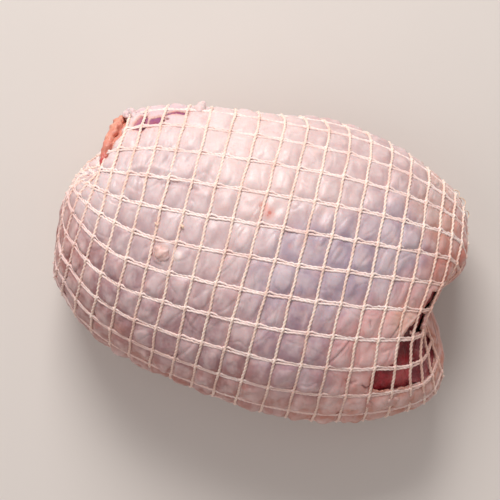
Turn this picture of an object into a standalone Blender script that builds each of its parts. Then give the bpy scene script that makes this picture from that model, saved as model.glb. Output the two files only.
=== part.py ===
"""Boneless turkey breast roll, raw and skin-on, held in an elastic roasting net.

The roll lies along X, with its drawn-in ends at -X and +X, its front side at -Y and +Z up. It rests on its
flattened underside at z = 0. Sizes are in metres. One form, measured at the net, gives all three pieces:
the meat, the skin wrapped round it and the net stretched over both.
"""

import math

import bmesh
import bpy
import numpy as np

MM = 0.001

# The plain barrel, before its ends are drawn in and pushed about.
HALF_LENGTH = 129 * MM
HALF_WIDTH = 77.5 * MM
HALF_HEIGHT = 52 * MM
CENTRE_HEIGHT = 50 * MM
LEFT_FULLNESS = 2.9
RIGHT_FULLNESS = 2.2
TOP_FULLNESS = 2.1
UNDER_FULLNESS = 2.6
LEFT_DIMPLE = 23 * MM
RIGHT_DIMPLE = 11 * MM
DIMPLE_SPAN = 0.55
CURVE_SAMPLES = 2881

# How the barrel is out of true.
TAPER = 0.11
SKEW = -0.16
LEAN = math.radians(5.5)
LEAN_TO_LEFT = math.radians(-6.5)
LEAN_TO_RIGHT = math.radians(-9.5)
LEFT_POLE_SHIFT = 21.5 * MM
RIGHT_POLE_SHIFT = -11 * MM
POLE_SHIFT_POWER = 3
LEFT_SWAY = 1.5 * MM
RIGHT_SWAY = 8 * MM
END_SAG = 12 * MM
SAG_REACH = 110 * MM

# The folds where the net draws each end in: depth, place round the girth, width and how soon they fade.
# The right one also runs on underneath, and its depth is shared by the pit round the right pole.
LEFT_CLEFT = 28 * MM
LEFT_CLEFT_AT = 0.04
LEFT_CLEFT_WIDTH = 0.21
LEFT_CLEFT_POWER = 3
RIGHT_CLEFT = 19.5 * MM
RIGHT_CLEFT_AT = 0.32
RIGHT_CLEFT_WIDTH = 0.075
RIGHT_CLEFT_POWER = 4
POLE_PIT = 0.25

# The tucks that the outermost rings draw into each end: depth, place, width, the steepness of their sides,
# and the lengths walked from the left pole where they start and are full. The right one also runs on
# underneath.
LEFT_TUCK = 7 * MM
LEFT_TUCK_AT = 0.04
LEFT_TUCK_WIDTH = 0.15
LEFT_TUCK_STEEPNESS = 4
LEFT_TUCK_START, LEFT_TUCK_FULL = 73 * MM, 55 * MM
RIGHT_TUCK = 8 * MM
RIGHT_TUCK_AT = 0.27
RIGHT_TUCK_WIDTH = 0.07
RIGHT_TUCK_START, RIGHT_TUCK_FULL = 290 * MM, 316 * MM

# The swelling along the back edge: shift in x and y, place and width round the girth, and the length walked
# to its middle and its reach from there.
BACK_SWELL_X, BACK_SWELL_Y = -7.8 * MM, 8 * MM
BACK_SWELL_AT = -0.057
BACK_SWELL_WIDTH = 0.064
BACK_SWELL_WALK = 203 * MM
BACK_SWELL_REACH = 44 * MM

# Lobes that swell or sink at the ends and shoulder: centre x and y, shift in x and y, reach.
LOBES = (
    (129 * MM, 37 * MM, -11 * MM, 8.5 * MM, 31 * MM),
    (133 * MM, -32 * MM, -12.5 * MM, -14 * MM, 37 * MM),
    (-138 * MM, -3 * MM, 11 * MM, 23 * MM, 45 * MM),
    (-129 * MM, -24 * MM, 4.5 * MM, -19.5 * MM, 15 * MM),
    (71.5 * MM, 118 * MM, 4 * MM, 18.3 * MM, 34 * MM),
)

# The net: strands run from end to end and rings go round, a fixed step apart.
STRANDS = 24
STRAND_START = 0.9
RING_STEP = 13 * MM
RING_ZERO = 30.5 * MM
FIRST_ROW = -2
LAST_ROW = 24
FIRST_NET_ROW = -1
LAST_NET_ROW = 22
THREAD = 1.8 * MM

# The layers under the net.
FLOOR_GAP = 0.3 * MM
GROOVE = 1.4 * MM
SKIN = 3 * MM
LAYER_GAP = 1.3 * MM
PILLOW = 0.27
PILLOW_SPREAD = 0.15
UNDER_PILLOW = 0.5
REST_HEIGHT = THREAD / 2 + FLOOR_GAP
UNDER_LIMIT = 12 * MM

# Openings, each a strand cell with its first and last row of cells.
END_ROWS = FIRST_ROW - 1
NET_END_OPENING = (
    (-2, END_ROWS, 1),
    (-1, END_ROWS, 2),
    (0, END_ROWS, 3),
    (1, END_ROWS, 3),
    (2, END_ROWS, 2),
)
SKIN_END_OPENING = (*NET_END_OPENING, (0, 4, 5))
SEAM_OPENING = ((5, 19, 19), (6, 19, 20), (7, 18, 21), (8, 17, 20))

# How the meat lies in them: bare at the open end, and sunk under the seam where the wrap stands away.
BARE_MEAT_RISE = 1.5 * MM
BARE_FIRST_ROW, BARE_LAST_ROW, BARE_ROW_REACH = 0.0, 1.6, 1.6
BARE_STRAND, BARE_STRAND_REACH = 0.8, 2.2
SEAM_SINK = 5 * MM
SEAM_ROW, SEAM_ROW_REACH = 19.0, 2.2
SEAM_STRAND, SEAM_STRAND_REACH = 8.0, 1.6
END_SINK = 13 * MM
END_ROW_REACH = 4.0

# The middle of the finished roll, seen from the middle of the plain barrel.
MIDDLE_X = -1.1 * MM
MIDDLE_Y = 0.6 * MM

SEED = 11
COLLECTION = "turkey_breast_roll"


def signed_power(values, exponent):
    """Raises the size of each value to the exponent and keeps its sign."""
    return np.sign(values) * np.abs(values) ** exponent


def walked(points):
    """The length walked along a line of points, from its start to each of them."""
    steps = np.linalg.norm(np.diff(points, axis=0), axis=1)
    return np.concatenate([[0.0], np.cumsum(steps)])


def side_line():
    """The barrel's line from pole to pole: length walked, x, and the shares of half length and radius."""
    angle = np.linspace(-math.pi / 2, math.pi / 2, CURVE_SAMPLES)
    fullness = np.where(angle < 0, LEFT_FULLNESS, RIGHT_FULLNESS)
    along = signed_power(np.sin(angle), 2 / fullness)
    radius = np.abs(np.cos(angle)) ** (2 / fullness)
    dimple = np.where(angle < 0, LEFT_DIMPLE, -RIGHT_DIMPLE)
    x = HALF_LENGTH * along + dimple * np.clip(1 - radius / DIMPLE_SPAN, 0, 1) ** 2
    return walked(np.stack([x, HALF_WIDTH * radius], axis=1)), x, along, radius


def half_girth(fullness, height):
    """Half of the barrel's section, as shares of its length, across from 1 to -1, and up."""
    angle = np.linspace(0, math.pi, CURVE_SAMPLES)
    across = signed_power(np.cos(angle), 2 / fullness)
    up = height * np.abs(np.sin(angle)) ** (2 / fullness)
    length = walked(np.stack([HALF_WIDTH * across, up], axis=1))
    return length / length[-1], across, up


SIDE_LINE = side_line()
UPPER_HALF = half_girth(TOP_FULLNESS, HALF_HEIGHT)
LOWER_HALF = half_girth(UNDER_FULLNESS, CENTRE_HEIGHT - REST_HEIGHT)


def girth_points(share):
    """Across and up at shares of the girth, counted from the back over the top and back underneath."""
    share = np.mod(share, 1.0)
    over = share < 0.5
    along_half = np.where(over, 2 * share, 2 * (1 - share))
    upper = [np.interp(along_half, UPPER_HALF[0], line) for line in UPPER_HALF[1:]]
    lower = [np.interp(along_half, LOWER_HALF[0], line) for line in LOWER_HALF[1:]]
    return np.where(over, upper[0], lower[0]), np.where(over, upper[1], -lower[1])


def fold(share, place, width, steepness=2):
    """1 at a fold's place round the girth, falling to 0 on both sides of it."""
    away = (np.mod(share - place + 0.5, 1.0) - 0.5) / width
    return np.exp(-(np.abs(away) ** steepness))


def eased(start, full, values):
    """0 at the start, smoothly up to 1 at full."""
    share = np.clip((values - start) / (full - start), 0, 1)
    return share * share * (3 - 2 * share)


def form_points(walk, share):
    """Points on the roll at the net, at lengths walked from the left pole and shares of the girth."""
    x, along, radius = (np.interp(walk, SIDE_LINE[0], line) for line in SIDE_LINE[1:])
    across, up = girth_points(share)
    to_left = np.clip(-along, 0, 1)
    to_right = np.clip(along, 0, 1)
    y = HALF_WIDTH * radius * across * (1 + along * (TAPER + SKEW * across))
    x = x + np.tan(LEAN + LEAN_TO_LEFT * to_left + LEAN_TO_RIGHT * to_right) * y
    pole_shift = np.where(along < 0, LEFT_POLE_SHIFT, RIGHT_POLE_SHIFT)
    y = y + pole_shift * (1 - radius) ** POLE_SHIFT_POWER
    y = y + LEFT_SWAY * to_left**2 + RIGHT_SWAY * to_right**2
    x = x + LEFT_CLEFT * fold(share, LEFT_CLEFT_AT, LEFT_CLEFT_WIDTH) * to_left**LEFT_CLEFT_POWER
    over = fold(share, RIGHT_CLEFT_AT, RIGHT_CLEFT_WIDTH)
    under = fold(share, 1 - RIGHT_CLEFT_AT, RIGHT_CLEFT_WIDTH)
    pit = np.exp(-((radius / POLE_PIT) ** 2))
    right_fold = over + under + (1 - over - under) * pit
    x = x - RIGHT_CLEFT * right_fold * to_right**RIGHT_CLEFT_POWER
    left_tuck = fold(share, LEFT_TUCK_AT, LEFT_TUCK_WIDTH, LEFT_TUCK_STEEPNESS)
    x = x + LEFT_TUCK * left_tuck * eased(LEFT_TUCK_START, LEFT_TUCK_FULL, walk)
    right_tuck = fold(share, RIGHT_TUCK_AT, RIGHT_TUCK_WIDTH)
    right_tuck = right_tuck + fold(share, 1 - RIGHT_TUCK_AT, RIGHT_TUCK_WIDTH)
    x = x - RIGHT_TUCK * right_tuck * eased(RIGHT_TUCK_START, RIGHT_TUCK_FULL, walk)
    swell = fold(share, BACK_SWELL_AT, BACK_SWELL_WIDTH)
    swell = swell * np.exp(-(((walk - BACK_SWELL_WALK) / BACK_SWELL_REACH) ** 2))
    x = x + BACK_SWELL_X * swell
    y = y + BACK_SWELL_Y * swell
    shift_x, shift_y = np.zeros_like(x), np.zeros_like(y)
    for centre_x, centre_y, move_x, move_y, reach in LOBES:
        pull = np.exp(-((x - centre_x) ** 2 + (y - centre_y) ** 2) / reach**2)
        shift_x += move_x * pull
        shift_y += move_y * pull
    x, y = x + shift_x, y + shift_y
    z = CENTRE_HEIGHT + radius * up - END_SAG * np.clip(np.abs(x) / SAG_REACH, 0, 1) ** 2
    return np.stack([x - MIDDLE_X, y - MIDDLE_Y, np.maximum(z, REST_HEIGHT)], axis=1)


def walk_of_row(row):
    """The length walked from the left pole to a row; the rows past the first and last are the poles."""
    walk = np.where(row < FIRST_ROW, 0.0, RING_ZERO + row * RING_STEP)
    return np.where(row > LAST_ROW, SIDE_LINE[0][-1], walk)


def roll_mesh(sink):
    """A closed mesh of the form with a corner at each crossing of strand and row.

    sink(row, strand) says how far below the net each corner lies. The faces' layers hold their cell.
    """
    spans = LAST_ROW - FIRST_ROW + 2
    mesh = bmesh.new()
    bmesh.ops.create_uvsphere(mesh, u_segments=STRANDS, v_segments=spans, radius=1)
    row_layer = mesh.faces.layers.int.new("row")
    strand_layer = mesh.faces.layers.int.new("strand")

    def place(point):
        row = END_ROWS + spans * math.acos(max(-1.0, min(1.0, -point.z / point.length))) / math.pi
        strand = STRANDS * math.atan2(point.y, point.x) / math.tau
        return row, strand

    for face in mesh.faces:
        row, strand = place(face.calc_center_median())
        face[row_layer] = math.floor(row)
        face[strand_layer] = math.floor(strand)
    places = np.array([place(vert.co) for vert in mesh.verts])
    rows, strands = np.rint(places[:, 0]), np.rint(places[:, 1])
    points = form_points(walk_of_row(rows), (strands + STRAND_START) / STRANDS)
    for vert, point in zip(mesh.verts, points):
        vert.co = point
    if mesh.calc_volume(signed=True) < 0:
        bmesh.ops.reverse_faces(mesh, faces=mesh.faces)
    mesh.normal_update()
    normals = [vert.normal.copy() for vert in mesh.verts]
    for vert, normal, row, strand in zip(mesh.verts, normals, rows, strands):
        vert.co -= normal * sink(row, strand)
    return mesh


def cells(mesh, openings):
    """The faces in the openings' cells."""
    row_layer = mesh.faces.layers.int["row"]
    strand_layer = mesh.faces.layers.int["strand"]
    wanted = {}
    for strand, first, last in openings:
        wanted.setdefault(strand, []).append((first, last))
    return [
        face
        for face in mesh.faces
        if any(first <= face[row_layer] <= last for first, last in wanted.get(face[strand_layer], ()))
    ]


def make_material(name, colour, roughness):
    """A plain Principled material."""
    material = bpy.data.materials.new(name)
    material.use_nodes = True
    shader = material.node_tree.nodes["Principled BSDF"]
    shader.inputs["Base Color"].default_value = (*colour, 1)
    shader.inputs["Roughness"].default_value = roughness
    shader.inputs["Metallic"].default_value = 0
    return material


def make_object(name, mesh, material, collection):
    """Turns a working mesh into a named object of the roll."""
    data = bpy.data.meshes.new(name)
    mesh.to_mesh(data)
    mesh.free()
    data.materials.append(material)
    data.shade_smooth()
    made = bpy.data.objects.new(name, data)
    collection.objects.link(made)
    return made


def hill(value, middle, reach):
    """1 at the middle, smoothly down to 0 at the reach."""
    away = min(1.0, abs(value - middle) / reach)
    return 0.5 + 0.5 * math.cos(math.pi * away)


def make_meat(collection):
    """The rolled breast meat, bare at the open end and sunk under the seam."""
    under_skin = GROOVE + SKIN + LAYER_GAP

    def sink(row, strand):
        bare_row = min(max(row, BARE_FIRST_ROW), BARE_LAST_ROW)
        bare = hill(row, bare_row, BARE_ROW_REACH) * hill(strand, BARE_STRAND, BARE_STRAND_REACH)
        sunk = hill(row, SEAM_ROW, SEAM_ROW_REACH) * hill(strand, SEAM_STRAND, SEAM_STRAND_REACH)
        ends = hill(row, END_ROWS, END_ROW_REACH) + hill(row, LAST_ROW + 1, END_ROW_REACH)
        covered = under_skin + END_SINK * ends
        return covered - (covered + BARE_MEAT_RISE) * bare + SEAM_SINK * sunk

    material = make_material("meat", (0.30, 0.03, 0.04), 0.4)
    return make_object("meat", roll_mesh(sink), material, collection)


def make_skin(collection):
    """The skin: open at the left end and the seam, swollen in each mesh of the net, flat where it rests."""
    cell_grid = (LAST_ROW - END_ROWS + 1, STRANDS)
    swelling = np.random.default_rng(SEED).uniform(-PILLOW_SPREAD, PILLOW_SPREAD, cell_grid)
    mesh = roll_mesh(lambda row, strand: GROOVE)
    bmesh.ops.delete(mesh, geom=cells(mesh, SKIN_END_OPENING + SEAM_OPENING), context="FACES")
    mesh.normal_update()
    row_layer = mesh.faces.layers.int["row"]
    strand_layer = mesh.faces.layers.int["strand"]
    netted = [face for face in mesh.faces if FIRST_NET_ROW <= face[row_layer] < LAST_NET_ROW]
    bmesh.ops.solidify(mesh, geom=mesh.faces[:], thickness=SKIN)
    for face in netted:
        share = UNDER_PILLOW if face.calc_center_median().z < UNDER_LIMIT else PILLOW
        share *= 1 + swelling[face[row_layer] - END_ROWS, face[strand_layer]]
        height = share * min(edge.calc_length() for edge in face.edges)
        bmesh.ops.poke(mesh, faces=[face], offset=height)
    everything = mesh.verts[:] + mesh.edges[:] + mesh.faces[:]
    bmesh.ops.bisect_plane(mesh, geom=everything, plane_co=(0, 0, 0), plane_no=(0, 0, -1), clear_outer=True)
    rims = [edge for edge in mesh.edges if edge.is_boundary]
    bmesh.ops.holes_fill(mesh, edges=rims)
    bmesh.ops.triangulate(mesh, faces=mesh.faces[:])
    material = make_material("skin", (0.80, 0.58, 0.55), 0.35)
    return make_object("skin", mesh, material, collection)


def make_netting(collection):
    """The net: a thread along each strand and round each ring."""
    mesh = roll_mesh(lambda row, strand: 0.0)
    past_ends = [(strand, END_ROWS, FIRST_NET_ROW - 1) for strand in range(-STRANDS // 2, STRANDS // 2)]
    past_ends += [(strand, LAST_NET_ROW, LAST_ROW) for strand in range(-STRANDS // 2, STRANDS // 2)]
    bmesh.ops.delete(mesh, geom=cells(mesh, [*NET_END_OPENING, *past_ends]), context="FACES")
    material = make_material("netting", (0.85, 0.72, 0.60), 0.8)
    netting = make_object("netting", mesh, material, collection)
    threads = netting.modifiers.new("threads", "WIREFRAME")
    threads.thickness = THREAD
    threads.use_even_offset = True
    threads.use_boundary = True
    threads.use_replace = True
    return netting


def main():
    for old in list(bpy.data.objects):
        bpy.data.objects.remove(old)
    collection = bpy.data.collections.new(COLLECTION)
    bpy.context.scene.collection.children.link(collection)
    make_meat(collection)
    make_skin(collection)
    make_netting(collection)


main()
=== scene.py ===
"""Looks of a raw turkey breast roll: its skin, the meat that shows, and the elastic net round it.

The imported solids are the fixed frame. The barrel that they were made from is worked out here again, from the
same sizes, and gives every piece its place: a point is named by its row, which is a ring of the net, by its
strand, and by its height over the net. Sizes are in metres, or in millimetres where a field says so.
"""

from __future__ import annotations

import logging
import math
from collections.abc import Callable, Iterator, Sequence
from contextlib import contextmanager
from dataclasses import dataclass, field
from enum import Enum

import bmesh
import bpy
import numpy as np
from mathutils import Matrix, Vector, noise


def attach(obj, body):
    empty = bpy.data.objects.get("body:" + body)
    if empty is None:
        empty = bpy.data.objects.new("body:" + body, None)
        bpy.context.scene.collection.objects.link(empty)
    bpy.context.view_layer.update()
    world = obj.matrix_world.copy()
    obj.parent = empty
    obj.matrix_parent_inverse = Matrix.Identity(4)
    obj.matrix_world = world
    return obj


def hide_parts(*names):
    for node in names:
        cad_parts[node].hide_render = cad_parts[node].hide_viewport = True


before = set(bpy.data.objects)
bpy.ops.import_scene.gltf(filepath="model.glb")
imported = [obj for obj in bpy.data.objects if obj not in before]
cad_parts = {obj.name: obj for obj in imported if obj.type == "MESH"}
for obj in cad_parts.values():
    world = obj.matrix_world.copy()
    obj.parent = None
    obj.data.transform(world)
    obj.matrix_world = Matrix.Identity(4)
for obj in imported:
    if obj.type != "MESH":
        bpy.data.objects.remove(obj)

MM = 0.001
WELD = 0.01 * MM
NO_EDGE = 9 * MM  # as far from an opening's edge as a piece without one counts
BODY = "root"
LOG = logging.getLogger("turkey_roll")

Array = np.ndarray
Socket = bpy.types.NodeSocket
Colour = tuple[float, float, float]
Triple = tuple[float, float, float]
Pair = tuple[float, float]
Span = tuple[float, float, float, float]
Offsets = Callable[[Array, Array, Array], tuple[Array, Array, Array]]


class Slot(Enum):
    """The record's material slots, each named as its node is."""

    MEAT = "meat"
    SKIN = "skin"
    NETTING = "netting"


def srgb(red: int, green: int, blue: int) -> Colour:
    """A colour given in the 0 to 255 steps of a screen, as the linear values that a shader takes."""
    shares = [step / 255 for step in (red, green, blue)]
    return tuple(part / 12.92 if part <= 0.04045 else ((part + 0.055) / 1.055) ** 2.4 for part in shares)


def smooth_step(low: float, high: float, values: Array) -> Array:
    """Rises smoothly from 0 where a value is low to 1 where it is high."""
    share = np.clip((values - low) / (high - low), 0, 1)
    return share * share * (3 - 2 * share)


def between(edges: Span, values: Array) -> Array:
    """Rises smoothly from 0 to 1 between the first two edges, and falls again between the last two."""
    return smooth_step(edges[0], edges[1], values) * smooth_step(edges[3], edges[2], values)


def bump_at(values: Array, middle: float, reach: float) -> Array:
    """A bell that is 1 at the middle and falls to about a third at the reach."""
    return np.exp(-(((values - middle) / reach) ** 2))


def within_turn(strand: Array, middle: float, turns: int) -> Array:
    """Strands counted on or back by whole turns, to lie within half a turn of the middle."""
    return np.mod(strand - middle + turns / 2, turns) - turns / 2 + middle


def pillowed(row: Array, strand: Array, fullness: float) -> Array:
    """How far a place in a cell of the net has risen: 0 at the threads and 1 in the middle."""
    along, across = (1 - np.abs(2 * np.mod(part, 1.0) - 1) ** fullness for part in (row, strand))
    return along * across


def unit(directions: Array) -> Array:
    """Directions brought to a length of 1."""
    return directions / np.maximum(np.linalg.norm(directions, axis=-1, keepdims=True), 1e-9)


def walked(points: Array) -> Array:
    """The length walked along a line of points, from its start to each of them."""
    return np.concatenate([[0.0], np.cumsum(np.linalg.norm(np.diff(points, axis=0), axis=1))])


def off_line(places: Array, start: Array, end: Array) -> Array:
    """How far each place is from a straight line between two points.

    Args:
        places: The places, one a row.
        start: One end of the line.
        end: Its other end.

    Returns:
        The distances.
    """
    edge = end - start
    along = np.clip(((places - start) @ edge) / (edge @ edge), 0, 1)
    return np.linalg.norm(places - start - along[:, None] * edge, axis=1)


@dataclass(frozen=True)
class Grain:
    """Smooth random relief over space, whose hills may be long in one direction.

    Args:
        size: The length of one hill, in millimetres, along its own x, y and z.
        seed: Which of many such reliefs it is.
        turn: How far the hills are turned about the vertical, in radians.
        height: How far the relief raises a surface, in millimetres.
        depth: How deep a fine groove along its hills' sides is, in millimetres.
        side: The value of the relief where that groove runs.
        width: How far from that value the groove reaches.
    """

    size: Triple
    seed: int
    turn: float = 0.0
    height: float = 0.0
    depth: float = 0.0
    side: float = 0.0
    width: float = 1.0

    def at(self, points: Array) -> Array:
        """The relief at each point.

        Args:
            points: Points in space, one a row.

        Returns:
            Values between about -1 and 1.
        """
        turned = points @ np.array(Matrix.Rotation(self.turn, 3, "Z"))
        cells = turned / (np.array(self.size) * MM) + self.seed * 17.3
        return np.fromiter(map(noise.noise, cells.tolist()), float, len(cells))

    def raised(self, points: Array) -> Array:
        """How far the relief raises each point, in metres."""
        return self.height * MM * self.at(points)

    def groove(self, values: Array) -> Array:
        """How deep the groove is, in metres, where the relief has these values."""
        return self.depth * MM * bump_at(values, self.side, self.width)

    def grooved(self, values: Array) -> Array:
        """How far the relief with its groove raises a surface, in metres, where it has these values."""
        return self.height * MM * values - self.groove(values)


@dataclass(frozen=True)
class Lobe:
    """A place where the barrel swells or sinks sideways: its centre, how it moves things and its reach."""

    x: float
    y: float
    move_x: float
    move_y: float
    reach: float


@dataclass(frozen=True)
class Fold:
    """A fold that the net draws into an end.

    Args:
        depth: How deep it is.
        place: Where it lies round the girth.
        width: How wide it is, as a share of the girth.
        power: How soon it fades towards the roll's middle.
        edge: How steep its sides are.
    """

    depth: float
    place: float
    width: float
    power: int = 1
    edge: float = 2.0

    def share(self, girth: Array, below: bool = False) -> Array:
        """How deep the fold is round the girth, from 0 to 1, over the top or mirrored below."""
        away = np.mod(girth - (1 - self.place if below else self.place) + 0.5, 1.0) - 0.5
        return np.exp(-(np.abs(away / self.width) ** self.edge))


@dataclass
class RollForm:
    """The roll's form at the net, from a plain barrel whose ends are drawn in and pushed about."""

    half_length: float = 129 * MM
    half_width: float = 77.5 * MM
    half_height: float = 52 * MM
    centre_height: float = 50 * MM
    rest_height: float = 1.2 * MM
    fullness: Pair = (2.9, 2.2)
    section_fullness: Pair = (2.1, 2.6)
    dimples: Pair = (23 * MM, 11 * MM)
    dimple_span: float = 0.55
    taper: float = 0.11
    skew: float = -0.16
    lean: float = math.radians(5.5)
    lean_to_left: float = math.radians(-6.5)
    lean_to_right: float = math.radians(-9.5)
    pole_shifts: Pair = (21.5 * MM, -11 * MM)
    pole_shift_power: int = 3
    sways: Pair = (1.5 * MM, 8 * MM)
    end_sag: float = 12 * MM
    sag_reach: float = 110 * MM
    left_fold: Fold = Fold(28 * MM, 0.04, 0.21, 3)
    right_fold: Fold = Fold(19.5 * MM, 0.32, 0.075, 4)
    pole_pit: float = 0.25
    left_tuck: Fold = Fold(7 * MM, 0.04, 0.15, edge=4.0)
    right_tuck: Fold = Fold(8 * MM, 0.27, 0.07)
    left_tuck_walk: Pair = (73 * MM, 55 * MM)
    right_tuck_walk: Pair = (290 * MM, 316 * MM)
    back_swell: Fold = Fold(8 * MM, -0.057, 0.064)
    back_swell_shift: float = -7.8 * MM
    back_swell_walk: Pair = (203 * MM, 44 * MM)
    lobes: tuple[Lobe, ...] = (
        Lobe(129 * MM, 37 * MM, -11 * MM, 8.5 * MM, 31 * MM),
        Lobe(133 * MM, -32 * MM, -12.5 * MM, -14 * MM, 37 * MM),
        Lobe(-138 * MM, -3 * MM, 11 * MM, 23 * MM, 45 * MM),
        Lobe(-129 * MM, -24 * MM, 4.5 * MM, -19.5 * MM, 15 * MM),
        Lobe(71.5 * MM, 118 * MM, 4 * MM, 18.3 * MM, 34 * MM),
    )
    middle: Pair = (-1.1 * MM, 0.6 * MM)
    samples: int = 2881
    side: tuple[Array, ...] = field(init=False)
    upper: tuple[Array, ...] = field(init=False)
    lower: tuple[Array, ...] = field(init=False)

    def __post_init__(self) -> None:
        """Works out the barrel's lines once."""
        self.side = self.side_line()
        self.upper = self.half_girth(self.section_fullness[0], self.half_height)
        self.lower = self.half_girth(self.section_fullness[1], self.centre_height - self.rest_height)

    def side_line(self) -> tuple[Array, ...]:
        """The barrel's line from pole to pole.

        Returns:
            Along the line: the length walked, x, and the shares of the half length and of the radius.
        """
        angle = np.linspace(-math.pi / 2, math.pi / 2, self.samples)
        power = 2 / np.where(angle < 0, *self.fullness)
        along = np.sign(angle) * np.abs(np.sin(angle)) ** power
        radius = np.abs(np.cos(angle)) ** power
        depth = np.where(angle < 0, self.dimples[0], -self.dimples[1])
        x = self.half_length * along + depth * np.clip(1 - radius / self.dimple_span, 0, 1) ** 2
        return walked(np.stack([x, self.half_width * radius], axis=1)), x, along, radius

    def half_girth(self, fullness: float, height: float) -> tuple[Array, ...]:
        """Half of the barrel's section, from the back to the front.

        Args:
            fullness: How square it is, 2 being an ellipse.
            height: How far it rises.

        Returns:
            Along the line: the share of its length, across from 1 to -1, and up.
        """
        angle = np.linspace(0, math.pi, self.samples)
        power = 2 / fullness
        across = np.sign(np.cos(angle)) * np.abs(np.cos(angle)) ** power
        up = height * np.abs(np.sin(angle)) ** power
        length = walked(np.stack([self.half_width * across, up], axis=1))
        return length / length[-1], across, up

    def section(self, girth: Array) -> tuple[Array, Array]:
        """The barrel's section.

        Args:
            girth: Shares of the girth, from the back over the top and back underneath.

        Returns:
            Across and up at each share.
        """
        girth = np.mod(girth, 1.0)
        over = girth < 0.5
        half = np.where(over, 2 * girth, 2 * (1 - girth))
        across = np.where(over, np.interp(half, *self.upper[:2]), np.interp(half, *self.lower[:2]))
        top = np.interp(half, self.upper[0], self.upper[2])
        under = np.interp(half, self.lower[0], self.lower[2])
        return across, np.where(over, top, -under)

    def points(self, walk: Array, girth: Array) -> Array:
        """Points on the roll at the net.

        Args:
            walk: Lengths walked from the left pole.
            girth: Shares of the girth, from the back over the top.

        Returns:
            The points, one a row.
        """
        x, along, radius = (np.interp(walk, self.side[0], line) for line in self.side[1:])
        across, up = self.section(girth)
        left, right = np.clip(-along, 0, 1), np.clip(along, 0, 1)
        y = self.half_width * radius * across * (1 + along * (self.taper + self.skew * across))
        x = x + np.tan(self.lean + self.lean_to_left * left + self.lean_to_right * right) * y
        y = y + np.where(along < 0, *self.pole_shifts) * (1 - radius) ** self.pole_shift_power
        y = y + self.sways[0] * left**2 + self.sways[1] * right**2
        x = x + self.left_fold.depth * self.left_fold.share(girth) * left**self.left_fold.power
        both = self.right_fold.share(girth) + self.right_fold.share(girth, below=True)
        both = both + (1 - both) * np.exp(-((radius / self.pole_pit) ** 2))
        x = x - self.right_fold.depth * both * right**self.right_fold.power
        x = x + self.left_tuck.depth * self.left_tuck.share(girth) * smooth_step(*self.left_tuck_walk, walk)
        tucked = self.right_tuck.share(girth) + self.right_tuck.share(girth, below=True)
        x = x - self.right_tuck.depth * tucked * smooth_step(*self.right_tuck_walk, walk)
        swell = self.back_swell.share(girth) * bump_at(walk, *self.back_swell_walk)
        x, y = x + self.back_swell_shift * swell, y + self.back_swell.depth * swell
        shift_x, shift_y = np.zeros_like(x), np.zeros_like(y)
        for lobe in self.lobes:
            pull = np.exp(-((x - lobe.x) ** 2 + (y - lobe.y) ** 2) / lobe.reach**2)
            shift_x += lobe.move_x * pull
            shift_y += lobe.move_y * pull
        x, y = x + shift_x, y + shift_y
        sag = self.end_sag * np.clip(np.abs(x) / self.sag_reach, 0, 1) ** 2
        z = np.maximum(self.centre_height + radius * up - sag, self.rest_height)
        return np.stack([x - self.middle[0], y - self.middle[1], z], axis=1)


@dataclass
class Place:
    """Points on the net's surface with their directions and scale.

    Args:
        point: The points.
        along: Unit directions towards the next row.
        across: Unit directions towards the next strand.
        normal: Unit directions outwards.
        row_step: Length of one row there.
        strand_step: Length of one strand cell there.
    """

    point: Array
    along: Array
    across: Array
    normal: Array
    row_step: Array
    strand_step: Array

    def moved(self, height: Array | float, along: Array | float = 0.0, across: Array | float = 0.0) -> Array:
        """The points moved.

        Args:
            height: How far outwards.
            along: How far towards the next row.
            across: How far towards the next strand.

        Returns:
            The moved points.
        """
        points = self.point
        for amount, direction in ((height, self.normal), (along, self.along), (across, self.across)):
            points = points + np.broadcast_to(amount, len(self.point))[:, None] * direction
        return points


@dataclass(frozen=True)
class Area:
    """An area of the roll: its row and strand, their reaches, and how much it does at its middle."""

    row: float
    strand: float
    row_reach: float
    strand_reach: float
    amount: float = 1.0

    def at(self, row: Array, strand: Array) -> Array:
        """How much it does at each place, which fades to nothing beyond its reaches."""
        near = bump_at(row, self.row, self.row_reach) * bump_at(strand, self.strand, self.strand_reach)
        return self.amount * near


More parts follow.
